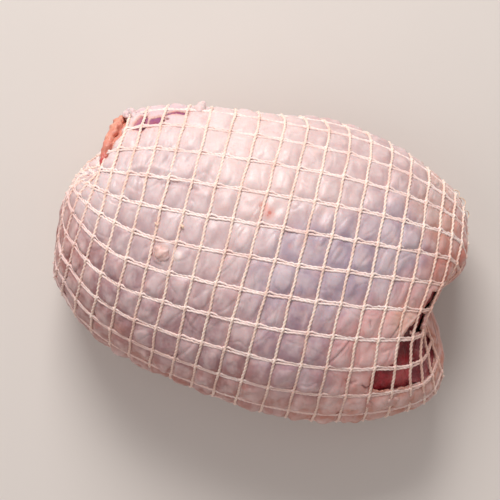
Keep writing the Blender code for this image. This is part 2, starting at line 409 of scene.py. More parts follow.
@dataclass
class NetLayout:
    """Where the net's rings and strands run on the roll, a little uneven as a stretched net is."""

    form: RollForm
    strands: int = 24
    strand_start: float = 0.9
    ring_step: float = 13 * MM
    ring_zero: float = 30.5 * MM
    first_ring: int = -1
    last_ring: int = 22
    row_wander: float = 0.03
    strand_wander: float = 0.02
    seed: int = 21
    nudge: float = 0.01
    dents: tuple[Area, ...] = (
        Area(7.5, 10.9, 3.6, 1.2, 1.6 * MM),
        Area(21.9, 6.7, 1.9, 2.3, 4.4 * MM),
        Area(22.4, 8.7, 1.6, 1.5, 2.0 * MM),
    )
    wanders: Array = field(init=False)
    left_pole: float = field(init=False)
    right_pole: float = field(init=False)

    def __post_init__(self) -> None:
        """Draws how far each crossing strays and finds the rows of the poles."""
        rng = np.random.default_rng(self.seed)
        rings = self.last_ring - self.first_ring + 1
        stray = rng.uniform(-1, 1, (2, rings, self.strands))
        stray[:, 0] = stray[:, -1] = 0
        self.wanders = stray * np.array([self.row_wander, self.strand_wander])[:, None, None]
        self.left_pole = -self.ring_zero / self.ring_step
        self.right_pole = (self.form.side[0][-1] - self.ring_zero) / self.ring_step

    def strayed(self, row: Array, strand: Array) -> Array:
        """Adds the net's unevenness.

        Args:
            row: Rows.
            strand: Strands.

        Returns:
            The uneven rows and strands.
        """
        inner = np.clip(row - self.first_ring, 0, self.last_ring - self.first_ring - 1e-6)
        ring, cell = np.floor(inner).astype(int), np.floor(strand).astype(int)
        ring_share = smooth_step(0, 1, inner - ring)
        cell_share = smooth_step(0, 1, strand - cell)
        total = np.zeros((2, len(row)))
        for ring_on, cell_on in np.ndindex(2, 2):
            ring_weight = ring_share if ring_on else 1 - ring_share
            cell_weight = cell_share if cell_on else 1 - cell_share
            wander = self.wanders[:, ring + ring_on, (cell + cell_on) % self.strands]
            total += ring_weight * cell_weight * wander
        return np.stack([row, strand]) + total

    def points(self, row: Array, strand: Array) -> Array:
        """Points of the net's surface.

        Args:
            row: Rows.
            strand: Strands.

        Returns:
            The points.
        """
        row, strand = self.strayed(row, strand)
        walk = np.clip(self.ring_zero + row * self.ring_step, 0, self.form.side[0][-1])
        return self.form.points(walk, (strand + self.strand_start) / self.strands)

    def place(self, row: Array | float, strand: Array | float) -> Place:
        """The points of the net's surface with their directions.

        Args:
            row: Rows, a ring being a whole number.
            strand: Strands, each strand being a whole number.

        Returns:
            The places.
        """
        row, strand = (np.array(part, float) for part in np.broadcast_arrays(row, strand))
        nudge = self.nudge
        inner = np.clip(row, self.left_pole + 2 * nudge, self.right_pole - 2 * nudge)
        along = self.points(inner + nudge, strand) - self.points(inner - nudge, strand)
        across = self.points(inner, strand + nudge) - self.points(inner, strand - nudge)
        row_step, strand_step = (np.linalg.norm(part, axis=1) / (2 * nudge) for part in (along, across))
        along, across = unit(along), unit(across)
        normal = unit(np.cross(across, along))
        sunk = sum(dent.at(row, np.mod(strand, self.strands)) for dent in self.dents)
        point = self.points(row, strand) - sunk[:, None] * normal
        return Place(point, along, across, normal, row_step, strand_step)


@dataclass(frozen=True)
class SkinMark:
    """A line or an outline on the skin, given by points in rows and strands.

    Args:
        line: Its points.
        row_length: The length of a row there, in metres.
        strand_length: The width of a strand there, in metres.
    """

    line: tuple[Pair, ...]
    row_length: float = field(default=13 * MM, kw_only=True)
    strand_length: float = field(default=16 * MM, kw_only=True)

    def laid_flat(self, row: Array, strand: Array, turns: int) -> tuple[Array, Array]:
        """Lays the skin round the line out flat.

        Args:
            row: Rows.
            strand: Strands.
            turns: The number of strands in a turn.

        Returns:
            The places and the line's points, in metres along the rows and strands.
        """
        corners = np.array(self.line)
        scale = np.array([self.row_length, self.strand_length])
        near = within_turn(strand, corners[:, 1].mean(), turns)
        return np.stack([row, near], axis=1) * scale, corners * scale


@dataclass(frozen=True)
class Opening(SkinMark):
    """A place where the skin is open, within its line.

    Args:
        ragged: How far its edge strays, in millimetres.
        roll: How far the skin sinks at its edge, in millimetres.
        lip: How thick the skin's edge is, in millimetres.
    """

    ragged: float
    roll: float
    lip: float

    def distance(self, row: Array, strand: Array, turns: int) -> Array:
        """How far each place is from the edge.

        Args:
            row: Rows.
            strand: Strands.
            turns: The number of strands in a turn.

        Returns:
            The distances, in metres, negative inside.
        """
        places, corners = self.laid_flat(row, strand, turns)
        nearest = np.full(len(places), np.inf)
        inside = np.zeros(len(places), bool)
        for start, end in zip(corners, np.roll(corners, -1, axis=0)):
            nearest = np.minimum(nearest, off_line(places, start, end))
            crosses = (start[1] > places[:, 1]) != (end[1] > places[:, 1])
            run, rise = end - start
            inside ^= crosses & (places[:, 0] < start[0] + (places[:, 1] - start[1]) / (rise or 1e-12) * run)
        return np.where(inside, -nearest, nearest)


SEAM = Opening(
    (
        (19.45, 6.12), (19.1, 6.16), (19.0, 6.36), (18.75, 6.5), (18.45, 6.7), (18.3, 6.94), (18.18, 7.14),
        (18.16, 7.44), (18.11, 7.88), (17.5, 7.98), (17.05, 8.08), (17.0, 8.45), (17.05, 8.78), (17.96, 8.9),
        (19.08, 8.88), (20.02, 8.97), (21.43, 8.93), (22.2, 8.7), (22.3, 7.9), (21.6, 7.3), (20.9, 7.0),
        (20.2, 6.95), (19.96, 6.8), (19.94, 6.4), (19.86, 6.16),
    ),
    0.8, 0.7, 1.2,
)
LEFT_END = Opening(
    (
        (3.65, -0.2), (3.95, 0.7), (3.65, 0.85), (3.75, 1.25), (3.45, 1.7), (3.4, 2.35), (2.9, 2.6),
        (1.0, 2.9), (-3.0, 2.9), (-3.0, -2.0), (1.2, -2.0), (2.4, -1.5), (3.2, -0.8),
    ),
    0.7, 0.5, 1.6, strand_length=14 * MM,
)
END_WINDOWS = (
    Opening(
        ((4.46, 1.14), (4.44, 0.88), (4.82, 0.42), (5.16, 0.42), (5.24, 0.95), (5.12, 1.22)),
        0.25, 0.2, 1.3, strand_length=15 * MM,
    ),
    Opening(
        ((5.3, 0.98), (5.36, 0.72), (5.9, 0.52), (6.06, 0.72), (5.7, 1.02), (5.4, 1.12)),
        0.2, 0.2, 1.3, strand_length=15 * MM,
    ),
    Opening(((6.08, 0.44), (6.08, 0.28), (7.0, 0.14), (7.02, 0.32)), 0.1, 0.2, 1.3, strand_length=15 * MM),
)
LOWER_SLIT = Opening(((16.22, 9.62), (16.4, 9.61), (16.56, 9.64), (16.4, 9.655)), 0.15, 0.5, 0.8)
UPPER_SLIT = Opening(
    ((19.34, 5.3), (20.06, 5.3), (20.0, 5.9), (19.8, 6.0), (19.22, 6.05), (19.28, 5.9)),
    0.25, 0.3, 0.8, strand_length=15 * MM,
)
OPENINGS = (SEAM, UPPER_SLIT, LOWER_SLIT, LEFT_END, *END_WINDOWS)


@dataclass(frozen=True)
class Crease(SkinMark):
    """A crease or ridge that runs along its line on the skin.

    Args:
        depth: How deep it is, in millimetres, negative for a ridge.
        width: How wide it is, in millimetres.
        tint: How much painted shade it lays along its line, negative for a painted highlight.
    """

    depth: float
    width: float
    tint: float = 0.0

    def share(self, row: Array, strand: Array, turns: int) -> Array:
        """How near each place is to the crease.

        Args:
            row: Rows.
            strand: Strands.
            turns: The number of strands in a turn.

        Returns:
            Shares, 1 on its line and falling to 0 beyond its width.
        """
        places, corners = self.laid_flat(row, strand, turns)
        width = self.width * MM
        low, high = corners.min(axis=0) - 3 * width, corners.max(axis=0) + 3 * width
        close = np.all((places > low) & (places < high), axis=1)
        nearest = [off_line(places[close], start, end) for start, end in zip(corners[:-1], corners[1:])]
        shares = np.zeros(len(row))
        shares[close] = bump_at(np.min(nearest, axis=0), 0, width)
        return shares


# Each crease's last number lays painted shade along it, negative for a painted highlight along a ridge.
CREASES = (
    Crease(((15.02, 7.85), (15.16, 7.71), (15.42, 7.42), (15.7, 7.1)), 0.8, 0.55, 0.5),
    Crease(((16.62, 8.58), (16.82, 8.72), (16.98, 8.66)), 0.9, 0.6, 0.8),
    Crease(((15.95, 8.4), (16.12, 8.5), (16.3, 8.42)), 0.7, 0.8, 0.3),
    Crease(((17.95, 6.52), (17.75, 6.7), (17.59, 6.93)), 0.9, 0.7, 0.4),
    Crease(((16.4, 6.4), (16.5, 6.6)), 0.6, 0.6, 0.3),
    Crease(
        ((18.9, 6.2), (18.58, 6.4), (18.26, 6.62), (18.08, 6.9), (18.0, 7.2), (17.96, 7.8)), -0.5, 0.9, -0.15,
    ),
    Crease(((6.72, 3.2), (7.3, 3.12), (7.8, 3.15), (8.25, 3.24)), 1.0, 1.1, 0.35),
    Crease(((4.43, 2.92), (5.2, 2.78), (6.05, 2.68), (7.04, 2.78)), -0.7, 1.5, -0.3),
    Crease(((6.1, 0.6), (6.25, 0.66)), 0.6, 0.7, 1.0),
    Crease(((4.82, 0.06), (4.95, 0.16)), 0.6, 0.7, 1.0),
    Crease(((7.05, 5.5), (7.25, 5.78), (7.62, 5.82)), 0.7, 0.9, 0.3),
    Crease(((8.12, 5.36), (8.2, 5.46)), -1.3, 2.4, -0.3),
    Crease(((3.4, 6.6), (3.64, 6.74)), -0.9, 2.6, -0.2),
    Crease(((3.52, 6.88), (3.66, 6.98), (3.82, 6.95), (3.98, 6.76)), 0.8, 0.8, 0.55),
    Crease(((2.15, 7.25), (2.5, 7.5)), -0.9, 2.6, -0.1),
    Crease(((2.29, 7.74), (2.5, 7.86), (2.72, 7.8), (2.92, 7.55)), 0.8, 0.8, 0.55),
    Crease(((3.15, 7.35), (3.4, 7.6)), -0.9, 2.2, -0.25),
    Crease(((3.2, 7.82), (3.4, 7.94), (3.6, 7.82), (3.76, 7.42)), 0.8, 0.8, 0.5),
    Crease(((2.72, 8.75), (2.95, 8.8), (3.15, 8.5)), 0.7, 0.9, 0.35),
    Crease(((3.6, 8.8), (3.9, 8.85), (4.1, 8.5)), 0.6, 0.9, 0.3),
    Crease(((5.0, 10.55), (5.4, 10.7), (5.8, 10.8)), -1.1, 3.6, -0.1),
    Crease(((5.25, 10.2), (5.7, 10.4), (6.1, 10.6)), 0.4, 0.9, 0.15),
    Crease(((6.3, 10.5), (6.6, 10.5), (6.85, 10.55)), -1.3, 3.4, -0.2),
    Crease(((6.45, 10.1), (6.8, 10.25), (7.1, 10.4)), 0.4, 0.8, 0.15),
    Crease(((7.3, 10.6), (7.6, 10.75), (8.0, 10.6)), -1.7, 3.8, -0.2),
    Crease(((7.3, 10.1), (7.6, 10.2), (8.0, 10.2)), 0.5, 0.8, 0.2),
    Crease(((7.35, 10.45), (7.7, 10.55), (8.05, 10.5)), 0.5, 0.7, 0.15),
    Crease(((8.15, 10.3), (8.3, 10.05), (8.35, 9.7)), 0.6, 0.7, 0.2),
    Crease(((8.4, 10.4), (9.4, 10.3), (10.5, 10.3)), -0.3, 4.0),
    Crease(((14.4, 9.5), (15.6, 9.45), (16.1, 9.4)), -1.0, 4.2, -0.3),
    Crease(((17.2, 9.5), (18.6, 9.55), (20.4, 9.6)), -0.9, 4.4, -0.15),
    Crease(((9.1, 7.3), (9.5, 7.6), (9.62, 8.1)), 0.6, 0.8, 0.15),
    Crease(((9.6, 8.2), (9.3, 8.6), (8.9, 8.95)), 0.6, 0.8, 0.15),
    Crease(((2.4, 5.9), (2.9, 6.3), (3.2, 6.9)), 0.9, 1.0, 0.3),
    Crease(((0.6, 7.0), (1.2, 7.3), (1.5, 7.9)), 1.0, 1.2, 0.3),
)


@contextmanager
def edited(mesh: bpy.types.Mesh) -> Iterator[bmesh.types.BMesh]:
    """Opens a mesh to bmesh's operators, and keeps what they did.

    Args:
        mesh: The mesh.

    Yields:
        Its bmesh.
    """
    work = bmesh.new()
    work.from_mesh(mesh)
    yield work
    work.to_mesh(mesh)
    work.free()


@dataclass
class Sheet:
    """A fine sheet that is laid out flat and then bent into place.

    Args:
        name: The name of its mesh.
        first: Steps along its first direction.
        second: Steps along its second direction.
        copies: How many such sheets lie side by side in the mesh.
    """

    name: str
    first: int
    second: int
    copies: int = 1
    mesh: bpy.types.Mesh = field(init=False)

    def flat(self) -> tuple[Array, Array, Array]:
        """Lays the sheets out flat.

        Returns:
            Each point's shares along both directions, and its sheet's number.
        """
        self.mesh = bpy.data.meshes.new(self.name)
        with edited(self.mesh) as work:
            for number in range(self.copies):
                bmesh.ops.create_grid(
                    work, x_segments=self.first, y_segments=self.second, size=0.5,
                    matrix=Matrix.Translation((0, 0, number)),
                )
        flat = np.empty(len(self.mesh.vertices) * 3, np.float32)
        self.mesh.vertices.foreach_get("co", flat)
        first, second, number = flat.reshape(-1, 3).astype(float).T
        return first + 0.5, second + 0.5, np.rint(number).astype(int)

    def bent(self, points: Array, **attributes: Array) -> bpy.types.Mesh:
        """Brings the sheets' points into place.

        Args:
            points: The points in place.
            **attributes: Values that the mesh keeps with the points, for its finish.

        Returns:
            The mesh.
        """
        self.mesh.vertices.foreach_set("co", points.astype(np.float32).ravel())
        for name, values in attributes.items():
            attribute = self.mesh.attributes.new(name, "FLOAT", "POINT")
            attribute.data.foreach_set("value", values.astype(np.float32))
        return self.mesh


def welded(mesh: bpy.types.Mesh) -> bpy.types.Mesh:
    """Closes the seams of a mesh by merging points that lie together.

    Args:
        mesh: The mesh.

    Returns:
        The same mesh.
    """
    with edited(mesh) as work:
        bmesh.ops.remove_doubles(work, verts=work.verts, dist=WELD)
        bmesh.ops.dissolve_degenerate(work, edges=work.edges, dist=WELD / 10)
    return mesh


def finished(name: str, mesh: bpy.types.Mesh, material: bpy.types.Material, slot: Slot) -> bpy.types.Object:
    """Makes a mesh a piece of the roll that rides with it and stands for its node.

    Args:
        name: The piece's name.
        mesh: Its mesh, in place.
        material: Its finish.
        slot: The slot and node that it belongs to.

    Returns:
        The piece.
    """
    mesh.materials.append(material)
    mesh.shade_smooth()
    piece = bpy.data.objects.new(name, mesh)
    bpy.context.scene.collection.objects.link(piece)
    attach(piece, BODY)
    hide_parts(slot.value)
    LOG.info("%s: %d triangles", name, sum(len(face.vertices) - 2 for face in mesh.polygons))
    return piece


class Wiring:
    """Adds shader nodes to one material and joins them."""

    def __init__(self, name: str) -> None:
        """Starts a material that holds one Principled shader.

        Args:
            name: The material's name.
        """
        self.material = bpy.data.materials.new(name)
        self.material.use_nodes = True
        self.tree = self.material.node_tree
        self.shader = self.tree.nodes["Principled BSDF"]
        self.place = self.tree.nodes.new("ShaderNodeTexCoord").outputs["Object"]

    def set_shader(self, **values: object) -> None:
        """Sets constants or links on the shader's own sockets, with _ for the spaces of their names."""
        for name, value in values.items():
            self.feed(self.shader.inputs[name.replace("_", " ")], value)

    def feed(self, socket: Socket, value: object) -> None:
        """Links a socket to another, or gives it a constant.

        Args:
            socket: The socket to feed.
            value: A socket, a number, a vector or a colour of three numbers.
        """
        if isinstance(value, Socket):
            self.tree.links.new(value, socket)
        elif socket.type == "RGBA":
            socket.default_value = (*value, 1.0)
        else:
            socket.default_value = value

    def node(self, kind: str, inputs: dict[int | str, object], **settings: object) -> bpy.types.Node:
        """Adds a node.

        Args:
            kind: The end of its type's name, after ShaderNode.
            inputs: What feeds its sockets, by name or number.
            **settings: Its own settings.

        Returns:
            The node.
        """
        node = self.tree.nodes.new("ShaderNode" + kind)
        for name, value in settings.items():
            setattr(node, name, value)
        for key, value in inputs.items():
            self.feed(node.inputs[key], value)
        return node

    def math(self, operation: str, *values: object) -> Socket:
        """The result of a sum or another operation on numbers."""
        return self.node("Math", dict(enumerate(values)), operation=operation).outputs[0]

    def attribute(self, name: str) -> Socket:
        """The value of the piece's own attribute."""
        return self.node("Attribute", {}, attribute_name=name).outputs["Fac"]

    def noise(self, size: float, detail: float, stretch: Triple = (1, 1, 1), turn: float = 0.0) -> Socket:
        """Noise over the piece.

        Args:
            size: The length of one patch, in millimetres.
            detail: How much finer detail there is.
            stretch: How many times longer the patches are along each direction.
            turn: How far they are turned about the vertical, in radians.

        Returns:
            A value of about 0.5, mostly from 0.25 to 0.75.
        """
        scale = tuple(1 / part for part in stretch)
        inputs = {"Vector": self.place, "Rotation": (0, 0, turn), "Scale": scale}
        mapped = self.node("Mapping", inputs, vector_type="POINT").outputs[0]
        inputs = {"Vector": mapped, "Scale": 1 / (size * MM), "Detail": detail, "Roughness": 0.55}
        return self.node("TexNoise", inputs).outputs["Fac"]

    def waver(self, size: float, detail: float, stretch: Triple = (1, 1, 1), turn: float = 0.0) -> Socket:
        """Noise about 0."""
        return self.math("SUBTRACT", self.noise(size, detail, stretch, turn), 0.5)

    def graded(self, value: Socket, low: float, high: float, start: float = 0.0, end: float = 1.0) -> Socket:
        """A value graded smoothly, from the start where it is low to the end where it is high."""
        inputs = {"Value": value, "From Min": low, "From Max": high, "To Min": start, "To Max": end}
        return self.node("MapRange", inputs, interpolation_type="SMOOTHSTEP").outputs["Result"]

    def mixed(self, share: object, first: object, second: object) -> Socket:
        """Mixes two colours, the share being the second one's."""
        inputs = {0: share, 6: first, 7: second}
        return self.node("Mix", inputs, data_type="RGBA", clamp_factor=True).outputs[2]

    def painted(self, colour: object, *layers: tuple[Colour, Socket, float, float, float, float]) -> Socket:
        """Paints layers over a colour.

        Args:
            colour: The colour below them.
            *layers: Each layer's colour, the value that says where it shows, and how that value is graded to
                give its share: low, high, start and end.

        Returns:
            The colour with its layers.
        """
        for over, value, *grades in layers:
            colour = self.mixed(self.graded(value, *grades), colour, over)
        return colour

    def bumped(self, *layers: tuple[Socket, float, float]) -> Socket:
        """Bumps, each on top of the last.

        Args:
            *layers: Each bump's height from 0 to 1, what a height of 1 is in millimetres, and its strength.

        Returns:
            The normal.
        """
        normal = None
        for height, distance, strength in layers:
            below = {} if normal is None else {"Normal": normal}
            inputs = {"Height": height, "Distance": distance * MM, "Strength": strength, **below}
            normal = self.node("Bump", inputs).outputs[0]
        return normal


@dataclass(frozen=True)
class Zone:
    """A place where a finish takes another colour.

    Args:
        centre: Its centre, in millimetres.
        reach: How far it reaches, in millimetres.
        steps: Its colour, in the 0 to 255 steps of a screen.
        share: The colour's share at the centre.
        stray: How far its edge strays with the waver, as a share of its reach.
        fade: Where it starts and ends to fade, as shares of its reach.
    """

    centre: Triple
    reach: float
    steps: tuple[int, int, int]
    share: float = 1.0
    stray: float = field(default=0.8, kw_only=True)
    fade: Pair = field(default=(0.55, 1.4), kw_only=True)

    def near(self, wiring: Wiring, waver: Socket) -> Socket:
        """How near a place is to the centre.

        Args:
            wiring: The material.
            waver: A noise that makes the zone's edge uneven.

        Returns:
            The share, 1 at the centre and 0 beyond the reach.
        """
        centre, reach = tuple(part * MM for part in self.centre), self.reach * MM
        away = wiring.node("VectorMath", {0: wiring.place, 1: centre}, operation="DISTANCE").outputs["Value"]
        uneven = wiring.math("MULTIPLY_ADD", waver, reach * self.stray, away)
        return wiring.graded(uneven, *(reach * part for part in self.fade), 1.0, 0.0)

    def laid_over(self, wiring: Wiring, below: object, waver: Socket) -> Socket:
        """The colour below with the zone laid over it, whose edge the waver makes uneven."""
        share = wiring.math("MULTIPLY", self.near(wiring, waver), self.share)
        return wiring.mixed(share, below, srgb(*self.steps))


@dataclass(frozen=True)
class SkinFinish:
    """Raw turkey skin: pearly, moist and a little see-through, pinker or more lilac from place to place."""

    base: Colour = srgb(204, 172, 172)
    pale: Colour = srgb(240, 222, 220)
    peach: Colour = srgb(228, 184, 176)
    # Painted shade, laid in the grooves at the threads where the skin's relief is low.
    groove_shade: Colour = srgb(160, 130, 138)
    pink: Colour = srgb(198, 150, 146)
    red: Colour = srgb(200, 90, 80)
    edge: Colour = srgb(214, 150, 130)
    # Painted shade, laid along the creases.
    crease: Colour = srgb(120, 52, 58)
    # A painted highlight, laid on the pillows' tops and along the ridges.
    painted_highlight: Colour = srgb(246, 228, 226)
    # Lighter over the top at the back and darker, browner low at the front: partly the skin's own tones,
    # partly painted shade and painted warm bounce light on the lower front.
    zones: tuple[Zone, ...] = (
        Zone((-60, 55, 65), 70, (226, 204, 203), 0.8),
        Zone((0, 45, 90), 48, (226, 201, 197), 0.7),
        Zone((-60, 5, 88), 45, (192, 168, 171), 0.75),
        Zone((-78, -16, 85), 34, (160, 125, 130), 0.62),
        Zone((-106, -10, 58), 24, (154, 98, 90), 0.75),
        Zone((55, 60, 70), 45, (194, 167, 167), 0.7),
        Zone((-30, -15, 98), 36, (206, 179, 180), 0.6),
        Zone((-35, -50, 75), 45, (160, 119, 124), 0.7),
        Zone((-20, -62, 80), 28, (148, 106, 112), 0.6),
        Zone((-88, -30, 55), 38, (160, 106, 100), 0.75),
        Zone((-45, -70, 45), 40, (176, 110, 90), 0.65),
        Zone((20, -75, 55), 42, (176, 110, 92), 0.65),
        Zone((30, -5, 100), 34, (171, 151, 166), 0.85),
        Zone((30, -40, 90), 28, (163, 129, 142), 0.7),
        Zone((68, 16, 86), 30, (163, 144, 160), 0.75),
        Zone((86, 46, 68), 18, (166, 140, 140), 0.6),
        Zone((72, -36, 82), 30, (226, 160, 152), 0.7),
        Zone((104, 18, 58), 28, (198, 124, 108), 0.72),
        Zone((102, -16, 56), 26, (196, 120, 94), 0.75),
        Zone((103, 22, 68), 20, (206, 122, 102), 0.5),
        Zone((88, 38, 76), 16, (200, 150, 128), 0.4),
        Zone((92, 60, 47), 18, (216, 176, 160), 0.6),
        Zone((86, -3, 85), 14, (220, 150, 138), 0.5),
        Zone((96, -16, 70), 14, (206, 124, 112), 0.5),
        Zone((80, -18, 83), 9, (240, 186, 160), 0.5),
        Zone((-66, 70, 58), 15, (200, 164, 180), 0.4),
        Zone((-96, 28, 58), 22, (176, 140, 138), 0.55),
        Zone((-110, 6, 54), 16, (140, 92, 86), 0.6),
        Zone((-90, 17, 83), 16, (216, 196, 196), 0.5),
        Zone((-74, -24, 88), 14, (148, 112, 120), 0.45),
        Zone((-41, -52, 85), 14, (180, 142, 146), 0.5),
        Zone((62, -78, 45), 36, (202, 132, 112), 0.65),
        Zone((94, -60, 40), 36, (188, 122, 98), 0.75),
    )
    spots: tuple[Zone, ...] = (
        Zone((0.8, 25.0, 99.5), 3.4, (222, 150, 136), 0.5),
        Zone((1.0, 25.4, 99.5), 1.0, (204, 86, 62), 0.6),
        Zone((0.2, 23.8, 99.5), 0.6, (204, 86, 62), 0.6),
        Zone((-2.6, 28.6, 99.3), 2.4, (222, 146, 130), 0.5),
        Zone((-2.4, 28.8, 99.3), 0.7, (204, 86, 62), 0.5),
        Zone((14.5, 10.0, 100), 2.0, (216, 156, 150), 0.5),
        Zone((-105.6, -29.9, 52.9), 3.0, (232, 126, 96), 0.6),
        Zone((-50.5, -4.6, 98), 4.5, (228, 182, 168), 0.6),
        Zone((-48, -6.6, 98), 1.7, (204, 112, 92), 0.6),
        # A painted highlight on the ridge beside the nodule.
        Zone((-41.8, -5.3, 99.3), 3.0, (250, 232, 224), 0.5),
    )

    def material(self) -> bpy.types.Material:
        """Builds the skin's material.

        Returns:
            The material.
        """
        wiring = Wiring("raw_skin")
        waver = wiring.waver(11, 4)
        colour = self.base
        for zone in self.zones:
            colour = zone.laid_over(wiring, colour, waver)
        vein = wiring.math("ABSOLUTE", wiring.waver(9, 3, (1, 1.6, 1), 0.2))
        relief, tint = wiring.attribute("relief"), wiring.attribute("tint")
        colour = wiring.painted(
            colour,
            (self.pale, wiring.noise(8, 3, (1, 1.4, 1), 0.3), 0.42, 0.62, 0.0, 0.26),
            (self.peach, wiring.noise(6, 3, (1, 1.4, 1), -0.4), 0.5, 0.68, 0.0, 0.26),
            (self.pink, vein, 0.0, 0.014, 0.25, 0.0),
            (self.red, wiring.noise(2.6, 2), 0.73, 0.8, 0.0, 0.5),
            # Painted shade in the grooves between the pillows, where the relief is low.
            (self.groove_shade, relief, 0.0, 0.55, 0.35, 0.0),
            # A painted highlight on the pillows' tops, where the relief is high.
            (self.painted_highlight, relief, 0.85, 1.0, 0.0, 0.16),
        )
        for spot in self.spots:
            colour = spot.laid_over(wiring, colour, waver)
        colour = wiring.painted(
            colour,
            # Painted shade along the creases, and a painted highlight along the ridges.
            (self.crease, tint, 0.0, 1.0, 0.0, 0.85),
            (self.painted_highlight, tint, 0.0, -1.0, 0.0, 0.8),
            (self.edge, wiring.attribute("edge"), 0.2 * MM, 2.4 * MM, 0.55, 0.0),
        )
        crinkle, fine = wiring.noise(3.2, 3, (1, 1.5, 1), 0.35), wiring.noise(1.1, 5)
        wiring.set_shader(
            Base_Color=colour, Roughness=wiring.graded(wiring.noise(7, 4), 0.38, 0.62, 0.4, 0.58),
            Normal=wiring.bumped((crinkle, 0.45, 0.5), (fine, 0.14, 0.4)), IOR=1.4,
            Subsurface_Weight=0.35, Subsurface_Scale=2.5 * MM, Subsurface_Radius=(1.0, 0.45, 0.35),
            Coat_Weight=0.2, Coat_Roughness=0.22,
        )
        return wiring.material


@dataclass(frozen=True)
class MeatFinish:
    """Raw turkey flesh: dark red in the seam, orange red at the left end, purple under its windows."""

    deep: Colour = srgb(190, 50, 62)
    wine: Colour = srgb(124, 18, 30)
    fat: Colour = srgb(240, 196, 174)
    sinew: Colour = srgb(208, 122, 122)
    bruise: Colour = srgb(168, 56, 54)
    windows: Zone = Zone((-68, 66, 62), 26, (150, 82, 122))
    left_end: Zone = Zone((-97, 50, 50), 27, (230, 154, 130))
    seam_shading_and_tone: tuple[Zone, ...] = (
        # Painted shade deep in the seam, under the skin's upper edge.
        Zone((91, -18, 77), 13, (104, 10, 16), 0.7),
        Zone((86, -31, 76), 11, (100, 12, 20), 0.55),
        # A lighter pink in the seam's lower right.
        Zone((87, -49, 66), 10, (206, 112, 112), 0.5),
        # Painted light in the deep upper slit.
        Zone((93, -4, 66), 7, (206, 128, 118), 0.6),
    )

    def material(self) -> bpy.types.Material:
        """Builds the flesh's material.

        Returns:
            The material.
        """
        wiring = Wiring("raw_meat")
        waver = wiring.waver(6, 4)
        colour = wiring.painted(self.wine, (self.deep, wiring.noise(6, 4), 0.35, 0.65, 0.0, 1.0))
        for zone in (self.windows, self.left_end):
            colour = zone.laid_over(wiring, colour, waver)
        fibre = wiring.noise(1.6, 5, (1, 5, 1), 0.5)
        colour = wiring.painted(
            colour,
            (self.bruise, wiring.noise(7, 4, (1, 1, 1.6)), 0.5, 0.66, 0.0, 0.45),
            (self.sinew, fibre, 0.55, 0.72, 0.0, 0.45),
        )
        for shade in self.seam_shading_and_tone:
            colour = shade.laid_over(wiring, colour, waver)
        fleck = wiring.graded(wiring.noise(2.4, 3), 0.54, 0.68, 0.0, 0.5)
        fleck = wiring.math("MULTIPLY", fleck, self.left_end.near(wiring, waver))
        wiring.set_shader(
            Base_Color=wiring.mixed(fleck, colour, self.fat),
            Roughness=wiring.graded(wiring.noise(3, 3), 0.35, 0.65, 0.28, 0.48),
            Normal=wiring.bumped((fibre, 0.8, 0.9), (wiring.noise(0.9, 3), 0.25, 0.6)), IOR=1.4,
            Subsurface_Weight=0.2, Subsurface_Scale=2 * MM, Subsurface_Radius=(1.0, 0.3, 0.2),
            Coat_Weight=0.25, Coat_Roughness=0.2,
        )
        return wiring.material


@dataclass(frozen=True)
class ThreadFinish:
    """Elastic net thread, cotton over rubber: light, soft, with a little stain from the meat, and painted
    shade in the grooves between its plies.

    Args:
        name: The material's name.
        light: Its clean colour.
        stain_and_groove_shade: The colour of its stains, also laid as painted shade in the grooves between its
            plies.
        zones: Where it is darker: at both ends, with stains, and low at the front, with painted shade.
    """

    name: str
    light: Colour
    stain_and_groove_shade: Colour
    zones: tuple[Zone, ...] = (
        Zone((-108, -8, 58), 32, (218, 172, 168), 0.5),
        # These two, low at the front, are painted shade.
        Zone((-50, -68, 50), 50, (222, 172, 158), 0.5),
        Zone((50, -76, 50), 50, (226, 178, 162), 0.45),
        Zone((104, -14, 56), 36, (226, 168, 148), 0.65),
    )

    def material(self) -> bpy.types.Material:
        """Builds the thread's material.

        Returns:
            The material.
        """
        wiring = Wiring(self.name)
        waver = wiring.waver(9, 3)
        colour = wiring.painted(self.light, (self.stain_and_groove_shade, wiring.noise(14, 4), 0.42, 0.66, 0.0, 0.45))
        for zone in self.zones:
            colour = zone.laid_over(wiring, colour, waver)
        # Painted shade in the grooves between the plies, where the thread's relief is low.
        colour = wiring.painted(colour, (self.stain_and_groove_shade, wiring.attribute("relief"), 0.0, 0.7, 0.5, 0.0))
        wiring.set_shader(
            Base_Color=colour, Roughness=0.82, Normal=wiring.bumped((wiring.noise(0.5, 4), 0.22, 0.8)),
            Sheen_Weight=0.3, Sheen_Roughness=0.5, Sheen_Tint=(1.0, 0.95, 0.9),
            Subsurface_Weight=0.15, Subsurface_Scale=0.6 * MM, Subsurface_Radius=(1.0, 0.7, 0.5),
        )
        return wiring.material


@dataclass(frozen=True)
class MembraneFinish:
    """The thin wet film over the seam's flesh: pinkish purple, with pale streaks."""

    film: Colour = srgb(164, 84, 88)
    dark: Colour = srgb(126, 40, 50)
    streak: Colour = srgb(206, 150, 146)

    def material(self) -> bpy.types.Material:
        """Builds the membrane's material.

        Returns:
            The material.
        """
        wiring = Wiring("membrane")
        colour = wiring.painted(
            self.film,
            (self.dark, wiring.noise(6, 4), 0.38, 0.66, 0.0, 1.0),
            (self.streak, wiring.noise(2.2, 5, (4, 1, 1), 0.6), 0.56, 0.7, 0.0, 0.7),
        )
        wiring.set_shader(
            Base_Color=colour, Roughness=0.36, IOR=1.4, Coat_Weight=0.3, Coat_Roughness=0.2,
            Normal=wiring.bumped((wiring.noise(1.8, 4, (3, 1, 1), 0.6), 0.4, 0.7)),
            Subsurface_Weight=0.3, Subsurface_Scale=1.5 * MM, Subsurface_Radius=(1.0, 0.4, 0.35),
        )
        return wiring.material


@dataclass(frozen=True)
class SkinPatch:
    """A part of the skin from one strand to another, under which its seams lie, and the size of its faces."""

    name: str
    first: int
    last: int
    step: float


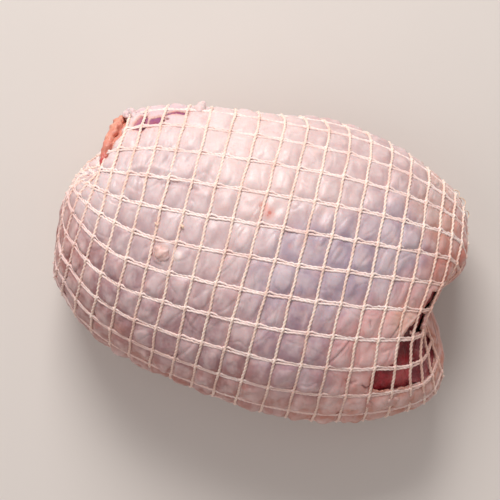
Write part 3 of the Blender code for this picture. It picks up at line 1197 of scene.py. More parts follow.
@dataclass
class Skin:
    """The roll's skin, pillowed between the threads, wrinkled, and open at the seam and at the left end."""

    net: NetLayout
    finish: SkinFinish = SkinFinish()
    patches: tuple[SkinPatch, ...] = (
        SkinPatch("skin_back", -3, 0, 0.7 * MM),
        SkinPatch("skin_top_back", 0, 5, 0.68 * MM),
        SkinPatch("skin_top_front", 5, 9, 0.65 * MM),
        SkinPatch("skin_front", 9, 12, 0.7 * MM),
        SkinPatch("skin_underside", 12, 21, 1.3 * MM),
    )
    broad: Grain = Grain((26, 34, 26), 1, 0.4, 0.7)
    leaning: Grain = Grain((4.8, 13, 8), 10, -0.45, 0.75)
    creases: Grain = Grain((6.5, 17, 9), 2, -0.35, 1.0, 0.5, 0.05, 0.06)
    folds: Grain = Grain((13, 8, 10), 3, -0.5, 0.5, 0.35, 0.0, 0.06)
    patchy: Grain = Grain((30, 30, 30), 4)
    pleats: Grain = Grain((4.6, 24, 12), 6, -0.12, 2.0, 0.6, 0.03, 0.05)
    slanted: Grain = Grain((5.2, 18, 10), 7, -0.62, 0.6)
    rumples: Grain = Grain((8, 7, 6), 9, -0.3, 1.2, 0.5, -0.05, 0.07)
    gathers: Grain = Grain((1000, 1000, 1000), 13)
    fine: Grain = Grain((2.6, 3.4, 2.6), 5, 0.3, 0.1)
    fray: Grain = Grain((2, 2, 2), 8)
    pleated: Area = Area(5.5, 2.6, 3.6, 1.9)
    front: Area = Area(6.0, 8.4, 6.0, 2.6)
    low_strands: Pair = (10.4, 1.7)
    under_strands: Span = (10.5, 12.5, 22.0, 23.8)
    netted_rows: Span = (-1.3, -0.9, 22.0, 22.4)
    smooth_rows: Span = (-1.0, 0.6, 20.8, 22.4)
    cell_width: float = 17 * MM
    groove: float = 0.5 * MM
    full_cell: float = 13 * MM
    gather_cell: float = 6 * MM
    gather_height: float = 2.2 * MM
    pillow: float = 1.15 * MM
    fullness: float = 3.2
    uneven: float = 0.55
    floor_gap: float = 0.15 * MM
    roll_reach: float = 1.4 * MM
    rim_smoothings: int = 3
    pole_share: float = 0.03
    seed: int = 5
    swells: Array = field(init=False)

    def __post_init__(self) -> None:
        """Draws how much each cell of the net swells."""
        rows = self.net.last_ring - self.net.first_ring + 4
        self.swells = np.random.default_rng(self.seed).uniform(-1, 1, (rows, self.net.strands))

    def relief(self, row: Array, strand: Array, place: Place) -> tuple[Array, Array]:
        """The skin's height over the net's surface.

        Args:
            row: Rows.
            strand: Strands.
            place: The places on the net's surface.

        Returns:
            The heights, and how far each place has risen from the grooves, from 0 to 1.
        """
        turns = self.net.strands
        creases, folds, pleats, rumples = (
            grain.at(place.point) for grain in (self.creases, self.folds, self.pleats, self.rumples)
        )
        room = np.clip(np.minimum(place.row_step, place.strand_step) / self.full_cell, 0.1, 1.1) ** 1.3
        bulge = pillowed(row, strand, self.fullness)
        netted = between(self.netted_rows, row)
        cell = np.clip(np.floor(row).astype(int) - self.net.first_ring + 1, 0, len(self.swells) - 1)
        swell = 1 + self.uneven * self.swells[cell, np.mod(np.floor(strand).astype(int), turns)]
        height = self.pillow * swell * netted + self.broad.raised(place.point)
        height = (height + self.leaning.raised(place.point)) * bulge * room
        soft = (0.25 + 0.75 * np.sqrt(np.clip(bulge, 0, 1))) * (0.4 + 0.6 * room)
        where = smooth_step(-0.15, 0.3, self.patchy.at(place.point))
        wrinkled = self.creases.height * MM * creases + self.folds.height * MM * folds
        height += soft * (0.45 + 0.55 * where) * wrinkled
        height -= soft * (where * self.creases.groove(creases) + (1 - where) * self.folds.groove(folds))
        height += soft * self.pleated.at(row, within_turn(strand, 0, turns)) * self.pleats.grooved(pleats)
        height += soft * self.front.at(row, strand) * self.slanted.raised(place.point)
        side = np.mod(strand, turns)
        low = bump_at(side, *self.low_strands) + 0.5 * between(self.under_strands, side)
        height += soft * low * self.rumples.grooved(rumples)
        turn = side / turns * 2 * math.pi
        gathers = self.gathers.at(np.stack([6 * np.cos(turn), 6 * np.sin(turn), 0.3 * row], axis=1))
        at_ends = 1 - between(self.smooth_rows, row)
        height += self.gather_height * gathers * at_ends * np.clip(place.strand_step / self.gather_cell, 0, 1)
        height += soft * self.fine.raised(place.point)
        height -= self.groove * (1 - bulge) * netted
        return height, np.clip(bulge * 0.8 + 0.35 * creases + 0.2, 0, 1)

    def edges(self, row: Array, strand: Array, point: Array) -> tuple[Array, Array, Array]:
        """The skin's edges.

        Args:
            row: Rows.
            strand: Strands.
            point: The points on the net's surface.

        Returns:
            How far each place is from the nearest opening, negative inside it, and its roll and lip.
        """
        fray = self.fray.at(point)
        nearest = np.full(len(row), np.inf)
        roll, lip = np.zeros((2, len(row)))
        for opening in OPENINGS:
            distance = opening.distance(row, strand, self.net.strands) + opening.ragged * MM * 2 * fray
            closer = distance < nearest
            nearest = np.where(closer, distance, nearest)
            roll, lip = np.where(closer, opening.roll * MM, roll), np.where(closer, opening.lip * MM, lip)
        return nearest, roll, lip

    def laid(self, patch: SkinPatch) -> bpy.types.Mesh:
        """Bends a patch of skin round the roll.

        Args:
            patch: The patch.

        Returns:
            Its mesh, not yet opened.
        """
        rows, strands = self.net.right_pole - self.net.left_pole, patch.last - patch.first
        length, width = rows * self.net.ring_step, strands * self.cell_width
        sheet = Sheet(patch.name, round(length / patch.step), round(width / patch.step))
        first, second, _number = sheet.flat()
        row, strand = self.net.left_pole + first * rows, patch.first + second * strands
        place = self.net.place(row, strand)
        height, relief = self.relief(row, strand, place)
        edge, roll, lip = self.edges(row, strand, place.point)
        height = height - roll * np.exp(-np.maximum(edge, 0) / self.roll_reach)
        # Painted shade along the creases and a painted highlight along the ridges, kept with the skin for its
        # finish.
        tint = np.zeros(len(row))
        for crease in CREASES:
            share = crease.share(row, strand, self.net.strands)
            height = height - crease.depth * MM * share
            tint = tint + crease.tint * share
        pole = smooth_step(self.pole_share, 0.0, np.minimum(first, 1 - first))
        points = place.moved(height * (1 - pole) - self.groove * pole)
        points[:, 2] = np.maximum(points[:, 2], self.floor_gap)
        for end in (0.0, 1.0):
            tip = np.array([end * self.net.form.side[0][-1]])
            points[np.abs(first - end) < 1e-6] = self.net.form.points(tip, np.zeros(1))[0]
        return sheet.bent(points, relief=relief, edge=edge, lip=lip, tint=tint)

    def opened(self, mesh: bpy.types.Mesh) -> bpy.types.Mesh:
        """Cuts the openings out of a patch and turns their edges in, so that the skin has a thickness there.

        Args:
            mesh: The patch's mesh.

        Returns:
            The same mesh.
        """
        with edited(mesh) as work:
            bmesh.ops.remove_doubles(work, verts=work.verts, dist=WELD / 5)
            edge, lip = work.verts.layers.float["edge"], work.verts.layers.float["lip"]
            gone = [face for face in work.faces if sum(vert[edge] for vert in face.verts) < 0]
            bmesh.ops.delete(work, geom=gone, context="FACES")
            cut = {vert for vert in work.verts if abs(vert[edge]) < self.roll_reach}
            rim = [part for part in work.edges if part.is_boundary and cut.issuperset(part.verts)]
            verts = list({vert for part in rim for vert in part.verts})
            every = {"use_axis_x": True, "use_axis_y": True, "use_axis_z": True}
            for _ in range(self.rim_smoothings):
                bmesh.ops.smooth_vert(work, verts=verts, factor=0.5, **every)
            work.normal_update()
            for vert in bmesh.ops.extrude_edge_only(work, edges=rim)["geom"]:
                if isinstance(vert, bmesh.types.BMVert):
                    vert.co -= vert.normal * vert[lip]
                    vert.co.z = max(vert.co.z, self.floor_gap)
        return mesh

    def build(self) -> list[bpy.types.Object]:
        """Makes the skin's pieces."""
        material = self.finish.material()
        meshes = [self.opened(self.laid(patch)) for patch in self.patches]
        return [finished(mesh.name, mesh, material, Slot.SKIN) for mesh in meshes]


@dataclass
class Meat:
    """The flesh under the skin, finer where it shows: in the seam and at the left end."""

    net: NetLayout
    skin: Skin
    finish: MeatFinish = MeatFinish()
    grain: Grain = Grain((2.4, 9, 3), 11, 0.5, 0.6)
    lumps: Grain = Grain((9, 14, 9), 12, 0.5, 1.3)
    depth: float = 3.4 * MM
    cell_rise: float = 1.2 * MM
    fullness: float = 3.0
    seam: Area = Area(19.4, 7.4, 2.4, 2.0, 0.8 * MM)
    hole: Area = Area(19.6, 5.6, 1.0, 0.8, 1.6 * MM)
    bare_rows: Pair = (4.6, 3.2)
    bare_strands: Pair = (0.8, 2.4)
    end_rise: float = 1.6 * MM
    window_rows: Span = (3.9, 4.4, 7.1, 7.7)
    window_strands: Span = (-0.4, 0.0, 1.3, 1.7)
    window_depth: float = 0.9 * MM
    sinks_left: Pair = (-0.6, -2.3)
    sinks_right: Pair = (20.5, 23.5)
    end_sinks: Pair = (3.5 * MM, 6 * MM)
    pole_depths: Pair = (2.8 * MM, 9.4 * MM)
    pole_share: float = 0.03
    floor_gap: float = 4 * MM
    rows: tuple[Pair, ...] = ((0.0, -2.346), (0.42, 7.2), (0.53, 16.2), (0.9, 22.5), (1.0, 24.0))
    cells: tuple[Pair, ...] = ((0.0, -3.0), (0.82, 10.0), (1.0, 21.0))
    steps: tuple[int, int] = (290, 270)

    def mesh(self) -> bpy.types.Mesh:
        """Bends the flesh's sheet round the roll and closes it.

        Returns:
            The mesh.
        """
        sheet = Sheet("meat_flesh", *self.steps)
        first, second, _number = sheet.flat()
        row = np.clip(np.interp(first, *zip(*self.rows)), self.net.left_pole, self.net.right_pole)
        strand = np.interp(second, *zip(*self.cells))
        place = self.net.place(row, strand)
        turned = within_turn(strand, 0, self.net.strands)
        bulge = pillowed(row, strand, self.fullness)
        shown = between(self.window_rows, row) * between(self.window_strands, turned)
        bare = smooth_step(*self.bare_rows, row) * bump_at(turned, *self.bare_strands)
        height = -self.depth + self.cell_rise * bulge
        height = height - self.seam.at(row, strand) + self.hole.at(row, strand) + self.end_rise * bare
        height = height - self.end_sinks[0] * smooth_step(*self.sinks_left, row) * (1 - bare)
        height = height - self.end_sinks[1] * smooth_step(*self.sinks_right, row)
        height = height + self.grain.raised(place.point) + self.lumps.raised(place.point)
        cover = self.skin.relief(row, strand, place)[0]
        height = height * (1 - shown) + (cover - self.window_depth) * shown
        pole = smooth_step(self.pole_share, 0.0, np.minimum(first, 1 - first))
        points = place.moved(height * (1 - pole) - np.where(first < 0.5, *self.pole_depths) * pole)
        points[:, 2] = np.maximum(points[:, 2], self.floor_gap)
        for end in (0.0, 1.0):
            at_pole = np.abs(first - end) < 1e-6
            points[at_pole] = points[at_pole].mean(axis=0)
        return welded(sheet.bent(points, relief=bulge))

    def build(self) -> list[bpy.types.Object]:
        """Makes the flesh."""
        return [finished("meat_flesh", self.mesh(), self.finish.material(), Slot.MEAT)]


def through(points: Array, share: Array) -> Array:
    """A smooth line through points.

    Args:
        points: The points that it passes, one a row.
        share: Where on the line, from 0 at its start to 1 at its end.

    Returns:
        The places on the line.
    """
    padded = np.concatenate([2 * points[:1] - points[1:2], points, 2 * points[-1:] - points[-2:-1]])
    along = np.clip(share, 0, 1) * (len(points) - 1)
    start = np.minimum(np.floor(along).astype(int), len(points) - 2)
    part = (along - start).reshape(-1, *([1] * (points.ndim - 1)))
    before, first, second, after = (padded[start + step] for step in range(4))
    slope, bend = second - before, 2 * before - 5 * first + 4 * second - after
    return first + 0.5 * part * (slope + part * (bend + part * (3 * (first - second) + after - before)))


def squared(ahead: Array, out: Array) -> tuple[Array, Array]:
    """Unit directions aside from a line that runs ahead, and those outwards that are square to both."""
    aside = unit(np.cross(ahead, out))
    return aside, np.cross(aside, ahead)


@dataclass(frozen=True)
class Ruck:
    """A rolled ridge, tongue or lump of skin or flesh, or a tuft of thread, along a line on the roll.

    Args:
        name: The piece's name.
        slot: What it is made of.
        line: Its points: row, strand, height and radius in millimetres.
        flatness: Its height as a share of its width.
        lumpy: How uneven it is, in millimetres.
    """

    name: str
    slot: Slot
    line: tuple[tuple[float, float, float, float], ...]
    flatness: float = 0.6
    lumpy: float = 0.5
    steps: tuple[int, int] = (56, 26)
    floor_gap: float = 0.2 * MM
    lumps: Grain = Grain((3.2, 3.2, 3.2), 31)
    small_lumps: Grain = Grain((1.4, 1.4, 1.4), 32)

    def mesh(self, net: NetLayout) -> bpy.types.Mesh:
        """Bends a sheet into the ridge.

        Args:
            net: Where rows and strands lie.

        Returns:
            The mesh.
        """
        sheet = Sheet(self.name, *self.steps)
        first, second, _number = sheet.flat()
        step = np.rint(first * self.steps[0]).astype(int)
        line = through(np.array(self.line), np.linspace(0, 1, self.steps[0] + 1))
        place = net.place(line[:, 0], line[:, 1])
        centre = place.moved(line[:, 2] * MM)
        aside, out = (part[step] for part in squared(unit(np.gradient(centre, axis=0)), place.normal))
        angle = 2 * math.pi * np.mod(second, 1.0)
        round_end = np.sqrt(np.clip(1 - (2 * first - 1) ** 6, 0, 1))
        radius = np.maximum(line[step, 3], 0.05) * MM * round_end
        wide, high = radius * np.sin(angle), radius * np.cos(angle) * self.flatness
        points = centre[step] + high[:, None] * out + wide[:, None] * aside
        lumps = self.lumps.at(points) + 0.5 * self.small_lumps.at(points)
        outward = np.cos(angle)[:, None] * out + np.sin(angle)[:, None] * aside
        points = points + (self.lumpy * MM * lumps * round_end)[:, None] * outward
        points[:, 2] = np.maximum(points[:, 2], self.floor_gap)
        no_edge = np.full(len(first), NO_EDGE)
        return welded(sheet.bent(points, relief=np.clip(0.6 + lumps, 0, 1), edge=no_edge))


@dataclass(frozen=True)
class Flap:
    """A thin loose sheet of membrane, held by lines of points across it.

    Args:
        name: The piece's name.
        lines: Its lines in order, each of as many points: row, strand and height in millimetres.
        thickness: Its thickness.
        ruffle: How far it waves, in millimetres.
        ragged: How far its rim strays.
    """

    name: str
    lines: tuple[tuple[Triple, ...], ...]
    thickness: float = 0.6 * MM
    ruffle: float = 0.5
    ragged: float = 0.9 * MM
    steps: tuple[int, int] = (70, 50)
    floor_gap: float = 0.2 * MM
    fray: Grain = Grain((1.8, 1.8, 1.8), 41)
    waves: Grain = Grain((5, 3.4, 4), 42, 0.5)
    small_waves: Grain = Grain((1.8, 1.4, 1.6), 43, 0.5)

    def mesh(self, net: NetLayout) -> bpy.types.Mesh:
        """Bends a sheet into the flap and gives it its thickness.

        Args:
            net: Where rows and strands lie.

        Returns:
            The mesh.
        """
        sheet = Sheet(self.name, *self.steps)
        first, second, _number = sheet.flat()
        downs, acrosses = (np.linspace(0, 1, steps + 1) for steps in self.steps)
        grid = np.array([through(line, acrosses) for line in through(np.array(self.lines), downs)])
        down, across = (
            np.rint(share * steps).astype(int) for share, steps in zip((first, second), self.steps)
        )
        row, strand, height = grid[down, across].T
        place = net.place(row, strand)
        rim = np.minimum(np.minimum(first, 1 - first), np.minimum(second, 1 - second))
        fray = self.ragged * (self.fray.at(place.point) * smooth_step(0.1, 0.0, rim))
        waves = self.waves.at(place.point) + 0.4 * self.small_waves.at(place.point)
        points = place.moved((height + self.ruffle * waves) * MM, fray, fray)
        points[:, 2] = np.maximum(points[:, 2], self.floor_gap + self.thickness)
        mesh = sheet.bent(points, relief=np.clip(0.6 + waves, 0, 1), edge=np.full(len(first), NO_EDGE))
        with edited(mesh) as work:
            bmesh.ops.recalc_face_normals(work, faces=work.faces)
            bmesh.ops.solidify(work, geom=work.faces, thickness=self.thickness)
            bmesh.ops.recalc_face_normals(work, faces=work.faces)
        return mesh


RUCKS = (
    Ruck(
        "curl_left_end", Slot.SKIN,
        ((4.55, 0.55, 0.4, 1.0), (4.3, 0.1, 1.0, 1.7), (4.05, -0.35, 1.6, 2.0), (3.82, -0.22, 1.8, 1.9),
         (3.85, 0.08, 1.4, 1.6), (4.0, 0.2, 0.8, 1.2)),
        0.8, 0.6,
    ),
    Ruck(
        "nub_back", Slot.SKIN,
        ((7.48, 0.1, -1.4, 2.9), (7.5, -0.2, -0.3, 3.0), (7.54, -0.45, 0.8, 2.3), (7.6, -0.63, 1.9, 1.4),
         (7.64, -0.74, 2.9, 0.8)),
        1.0, 0.6,
    ),
    Ruck(
        "nodule", Slot.SKIN,
        ((7.15, 5.24, -1.6, 2.4), (7.34, 5.34, -0.6, 3.6), (7.5, 5.42, -0.3, 4.2), (7.66, 5.5, -0.4, 3.4),
         (7.8, 5.58, -1.2, 2.0)),
        0.7, 0.9,
    ),
    Ruck(
        "flesh_rim_left", Slot.MEAT,
        ((3.35, -0.9, -0.6, 2.0), (3.3, -0.2, 0.0, 2.8), (3.22, 0.5, 0.2, 3.1), (3.05, 1.1, 0.7, 3.0),
         (2.95, 1.7, 0.8, 3.0), (2.75, 2.3, 0.5, 2.5), (2.8, 2.75, -0.2, 1.8)),
        0.8, 1.5,
    ),
    Ruck(
        "tongue_front_left", Slot.SKIN,
        ((4.9, 10.75, 0.4, 0.8), (5.3, 10.95, 1.0, 1.5), (5.7, 11.05, 1.2, 1.6), (6.0, 10.8, 0.8, 0.9)),
        0.4, 0.7,
    ),
    Ruck(
        "tongue_front_middle", Slot.SKIN,
        ((7.15, 10.75, 0.6, 0.8), (7.45, 11.0, 1.4, 1.6), (7.85, 11.05, 1.6, 1.8), (8.25, 10.75, 0.9, 1.2),
         (8.6, 10.3, 0.2, 0.7)),
        0.4, 0.8,
    ),
    Ruck(
        "seam_lip_lower", Slot.SKIN,
        ((17.0, 8.98, -1.2, 0.9), (17.8, 9.0, -1.1, 1.2), (18.7, 8.99, -1.1, 1.2), (19.6, 8.98, -1.1, 1.2),
         (20.5, 9.02, -1.1, 1.3), (21.2, 8.98, -1.2, 1.0)),
        0.6, 0.6,
    ),
    Ruck(
        "end_rim_right", Slot.SKIN,
        ((20.9, 6.95, -1.2, 0.9), (21.5, 7.25, -1.0, 1.3), (22.0, 7.6, -0.8, 1.5), (22.3, 8.1, -0.7, 1.5),
         (22.2, 8.7, -0.7, 1.3), (21.8, 9.1, -0.8, 1.0)),
        0.8, 0.9,
    ),
    Ruck(
        "seam_bridge", Slot.SKIN,
        ((19.82, 6.1, -0.6, 0.8), (19.9, 6.4, -0.3, 1.0), (19.98, 6.7, -0.2, 1.1), (20.3, 6.95, -0.4, 1.0)),
        0.6, 0.8,
    ),
    Ruck(
        "seam_tatter", Slot.SKIN,
        ((18.75, 6.72, -0.9, 0.6), (19.0, 6.84, -0.9, 1.0), (19.35, 6.9, -0.9, 1.1), (19.8, 6.92, -1.0, 0.9)),
        0.5, 0.8,
    ),
    Ruck(
        "fat_roll_lower", Slot.SKIN,
        ((16.6, 9.38, 0.0, 1.2), (17.1, 9.4, 0.2, 2.2), (18.0, 9.42, 0.2, 2.8), (18.9, 9.46, 0.2, 2.8),
         (19.8, 9.56, 0.0, 2.2), (20.5, 9.7, -0.3, 1.2)),
        0.42, 1.2,
    ),
    Ruck(
        "tuft_top", Slot.NETTING,
        ((8.0, 4.4, 0.9, 0.4), (8.06, 4.44, 1.6, 0.7), (8.12, 4.47, 1.5, 0.6), (8.1, 4.52, 0.9, 0.4)),
        0.9, 0.4,
    ),
    Ruck(
        "tuft_left", Slot.NETTING,
        ((6.9, 4.5, 0.9, 0.3), (6.98, 4.54, 1.4, 0.5), (7.04, 4.6, 1.0, 0.3)), 0.9, 0.3,
    ),
    Ruck(
        "fray_right_high", Slot.NETTING,
        ((19.7, -0.3, 0.5, 0.25), (19.9, -0.5, 1.8, 0.25), (20.1, -0.56, 2.2, 0.25), (20.3, -0.4, 0.9, 0.25)),
        1.0, 0.12,
    ),
    Ruck(
        "fray_right_middle", Slot.NETTING,
        ((20.3, -0.2, 0.5, 0.25), (20.55, -0.4, 1.9, 0.25),
         (20.8, -0.42, 2.3, 0.25), (21.0, -0.2, 0.8, 0.25)),
        1.0, 0.12,
    ),
    Ruck(
        "fray_right_low", Slot.NETTING,
        ((21.1, 0.3, 0.6, 0.25), (21.3, 0.0, 1.8, 0.25), (21.5, -0.1, 2.0, 0.25), (21.6, 0.2, 0.8, 0.25)),
        1.0, 0.12,
    ),
)
SEAM_FILM = Flap(
    "seam_membrane",
    (
        ((19.95, 7.1, -3.4), (19.8, 7.7, -3.4), (19.3, 8.25, -3.5), (19.1, 8.85, -3.2)),
        ((20.5, 7.0, -2.0), (20.4, 7.6, -1.5), (20.2, 8.3, -1.4), (20.1, 8.95, -1.4)),
        ((21.2, 7.15, -1.6), (21.1, 7.7, -1.2), (21.0, 8.4, -1.2), (21.0, 9.0, -1.3)),
        ((22.2, 7.6, -1.8), (22.3, 8.0, -1.5), (22.3, 8.4, -1.5), (22.2, 8.9, -1.8)),
    ),
)


@dataclass
class LoosePieces:
    """The tongues, curls and flaps at the roll's openings and edges, and its loose thread."""

    net: NetLayout
    skin: SkinFinish = SkinFinish()
    meat: MeatFinish = MeatFinish()
    thread: ThreadFinish = ThreadFinish("loose_thread", srgb(250, 224, 200), srgb(222, 176, 150))
    membrane: MembraneFinish = MembraneFinish()

    def build(self) -> list[bpy.types.Object]:
        """Makes the loose pieces.

        Returns:
            The pieces.
        """
        finishes = {Slot.SKIN: self.skin, Slot.MEAT: self.meat, Slot.NETTING: self.thread}
        materials = {slot: finish.material() for slot, finish in finishes.items()}
        pieces = [finished(ruck.name, ruck.mesh(self.net), materials[ruck.slot], ruck.slot) for ruck in RUCKS]
        film = finished(SEAM_FILM.name, SEAM_FILM.mesh(self.net), self.membrane.material(), Slot.MEAT)
        return [*pieces, film]


@dataclass(frozen=True)
class Ply:
    """The section of a thread that is twisted from strands.

    Args:
        radius: Its radius.
        plies: How many strands it is twisted from.
        depth: How deep the grooves between them are, as a share of the radius.
        lay: The length of one turn.
        sides: The number of its section's sides.
    """

    radius: float
    plies: int
    depth: float
    lay: float
    sides: int

    def section(self, angle: Array, length: Array) -> tuple[Array, Array]:
        """The thread's section.

        Args:
            angle: Angles round the thread.
            length: Lengths along it.

        Returns:
            The radius there, and how far it has risen from the grooves, from 0 to 1.
        """
        twist = self.plies * (angle - length / self.lay * 2 * math.pi) / 2
        share = 1 - self.depth * np.sin(twist) ** 2
        return self.radius * share, (share - 1 + self.depth) / self.depth


@dataclass(frozen=True)
class Path:
    """A thread's path on the net: the rows and strands of its start and end, and its number in a chain."""

    rows: Pair
    strands: Pair
    number: int = 0

    def run(self, share: Array) -> Array:
        """The rows and strands at shares of the path."""
        return np.array([start + share * (end - start) for start, end in (self.rows, self.strands)])


@dataclass
class ThreadMesh:
    """Threads of one kind, made as sheets that are rolled up round their paths.

    Args:
        name: The name of the mesh.
        net: Where rows and strands lie.
        ply: The threads' section.
        steps: Steps along each thread.
        offsets: Takes rows, strands and each thread's number, and gives the path's offsets outwards, towards
            the next row and towards the next strand.
    """

    name: str
    net: NetLayout
    ply: Ply
    steps: int
    offsets: Offsets
    floor_gap: float = 0.12 * MM

    def rolled(self, paths: Sequence[Path]) -> bpy.types.Mesh:
        """Rolls up the threads and closes their ends.

        Args:
            paths: The threads' paths, all about as long.

        Returns:
            The mesh.
        """
        sheet = Sheet(self.name, self.steps, self.ply.sides, len(paths))
        first, second, number = sheet.flat()
        step = np.rint(first * self.steps).astype(int)
        centre, ahead, out, length = (line[number, step] for line in self.lines(paths))
        aside, out = squared(ahead, out)
        angle = 2 * math.pi * np.mod(second, 1.0)
        radius, share = self.ply.section(angle, length)
        points = centre + (radius * np.cos(angle))[:, None] * out + (radius * np.sin(angle))[:, None] * aside
        points[:, 2] = np.maximum(points[:, 2], self.floor_gap)
        mesh = sheet.bent(points, relief=share)
        with edited(mesh) as work:
            bmesh.ops.remove_doubles(work, verts=work.verts, dist=WELD)
            rims = [edge for edge in work.edges if edge.is_boundary]
            bmesh.ops.holes_fill(work, edges=rims, sides=self.ply.sides)
        return welded(mesh)

    def lines(self, paths: Sequence[Path]) -> tuple[Array, ...]:
        """The threads' lines.

        Args:
            paths: The threads' paths.

        Returns:
            By thread and step: the centre, the directions ahead and outwards, and the length walked.
        """
        share = np.linspace(0, 1, self.steps + 1)
        row, strand = np.concatenate([path.run(share) for path in paths], axis=1)
        number = np.repeat([path.number for path in paths], self.steps + 1)
        place = self.net.place(row, strand)
        shape = (len(paths), self.steps + 1, 3)
        centre = place.moved(*self.offsets(row, strand, number)).reshape(shape)
        ahead = np.gradient(centre, axis=1)
        looped = np.array([path.strands == (0, self.net.strands) for path in paths])
        ahead[looped, 0] = ahead[looped, -1] = centre[looped, 1] - centre[looped, -2]
        length = np.array([walked(line) for line in centre])
        turns = np.maximum(np.rint(length[:, -1:] / self.ply.lay), 1) * self.ply.lay
        return centre, unit(ahead), place.normal.reshape(shape), length / length[:, -1:] * turns


@dataclass
class Netting:
    """The elastic net: cords that ring the roll, and chains of thread pairs that run along it."""

    net: NetLayout
    ring_finish: ThreadFinish = ThreadFinish("ring_cord", srgb(255, 232, 218), srgb(222, 174, 156))
    chain_finish: ThreadFinish = ThreadFinish("chain_thread", srgb(255, 234, 228), srgb(232, 192, 184))
    ring_ply: Ply = Ply(0.88 * MM, 2, 0.36, 5.2 * MM, 8)
    chain_ply: Ply = Ply(0.72 * MM, 2, 0.26, 5.0 * MM, 6)
    ring_steps: int = 900
    chain_steps: int = 400
    over: float = 0.6 * MM
    over_reach: float = 0.09
    ring_sway: float = 0.22 * MM
    ring_phases: Pair = (5.1, 2.3)
    ring_groups: tuple[tuple[int, int], ...] = ((-1, 7), (8, 15), (16, 22))
    short_rings: tuple[tuple[int, Pair], ...] = (
        (-1, (3, 22)), (0, (3, 22)), (1, (3, 22)), (2, (3, 22)), (3, (2, 23)),
    )
    late_strands: tuple[tuple[int, float], ...] = ((-1, 3), (0, 4), (1, 4), (2, 3))
    chain_gaps: tuple[Pair, ...] = (
        (0.0, 1.2), (0.12, 1.7), (0.25, 1.4), (0.42, 1.0), (0.55, 0.95), (0.7, 1.15), (0.85, 0.9), (1.0, 1.2),
    )
    gap_uneven: float = 0.2
    gap_phases: Pair = (7.7, 3.1)
    chain_side: float = 0.5 * MM
    chain_height: float = -0.15 * MM
    chain_wave: float = 0.08 * MM
    waves_in_row: float = 2.7
    chain_dip: float = 0.35 * MM
    dip_reach: float = 0.07
    chain_arch: float = 0.2 * MM
    chain_overlap: float = 0.06
    knot_size: Triple = (1.25 * MM, 0.8 * MM, 0.6 * MM)
    knot_place: Pair = (-0.95 * MM, 0.35 * MM)
    knot_stray: float = 0.3 * MM
    knot_steps: tuple[int, int] = (8, 5)

    def ring_offsets(self, row: Array, strand: Array, _number: Array) -> tuple[Array, Array, Array]:
        """Lifts a ring over each chain and shifts it a little there.

        Args:
            row: Rows.
            strand: Strands.

        Returns:
            The offsets outwards, towards the next row and towards the next strand.
        """
        lift = self.over * bump_at(np.abs(strand - np.rint(strand)), 0, self.over_reach)
        phase = strand * self.ring_phases[0] + row * self.ring_phases[1]
        sway = self.ring_sway * np.sin(phase) * np.sin(math.pi * np.mod(strand, 1.0))
        return lift, sway, np.zeros_like(lift)

    def chain_offsets(self, row: Array, strand: Array, number: Array) -> tuple[Array, Array, Array]:
        """Parts a chain's two threads after each crossing and closes them again before the next.

        Args:
            row: Rows.
            strand: Strands.
            number: 0 for the upper thread and 1 for the lower.

        Returns:
            The offsets outwards, towards the next row and towards the next strand.
        """
        share = np.mod(row, 1.0)
        gap = np.interp(share, *zip(*self.chain_gaps)) * MM
        phase = strand * self.gap_phases[0] + np.floor(row) * self.gap_phases[1]
        gap = gap * (1 + self.gap_uneven * np.sin(phase))
        upper = number == 0
        across = np.where(upper, self.chain_side - gap, self.chain_side)
        phase = row * 2 * math.pi * self.waves_in_row + strand * 3 + number
        across = across + self.chain_wave * np.sin(phase)
        dip = self.chain_dip * bump_at(np.minimum(share, 1 - share), 0, self.dip_reach)
        height = self.chain_height - dip + np.where(upper, self.chain_arch, 0) * np.cos(2 * math.pi * share)
        return height, np.zeros_like(height), across

    def start(self, strand: int) -> float:
        """The row where a strand's chain starts, which is later beside the left opening."""
        late = {number % self.net.strands: row for number, row in self.late_strands}
        return late.get(strand, self.net.first_ring)

    def rings(self) -> list[bpy.types.Object]:
        """Makes the ring cords.

        Returns:
            The pieces, each of several rings.
        """
        material = self.ring_finish.material()
        arcs = dict(self.short_rings)
        whole = (0, self.net.strands)
        pieces = []
        for number, (first, last) in enumerate(self.ring_groups):
            paths = [Path((row, row), arcs.get(row, whole)) for row in range(first, last + 1)]
            name = f"ring_cords_{number}"
            threads = ThreadMesh(name, self.net, self.ring_ply, self.ring_steps, self.ring_offsets)
            pieces.append(finished(name, threads.rolled(paths), material, Slot.NETTING))
        return pieces

    def chains(self) -> list[bpy.types.Object]:
        """Makes the chains of thread pairs.

        Returns:
            The pieces, each of half the chains.
        """
        material = self.chain_finish.material()
        half = self.net.strands // 2
        end = self.net.last_ring + self.chain_overlap
        pieces = []
        for number, strands in enumerate((range(half), range(half, 2 * half))):
            paths = [
                Path((self.start(strand) - self.chain_overlap, end), (strand, strand), side)
                for strand in strands
                for side in (0, 1)
            ]
            name = f"chain_threads_{number}"
            threads = ThreadMesh(name, self.net, self.chain_ply, self.chain_steps, self.chain_offsets)
            pieces.append(finished(name, threads.rolled(paths), material, Slot.NETTING))
        return pieces

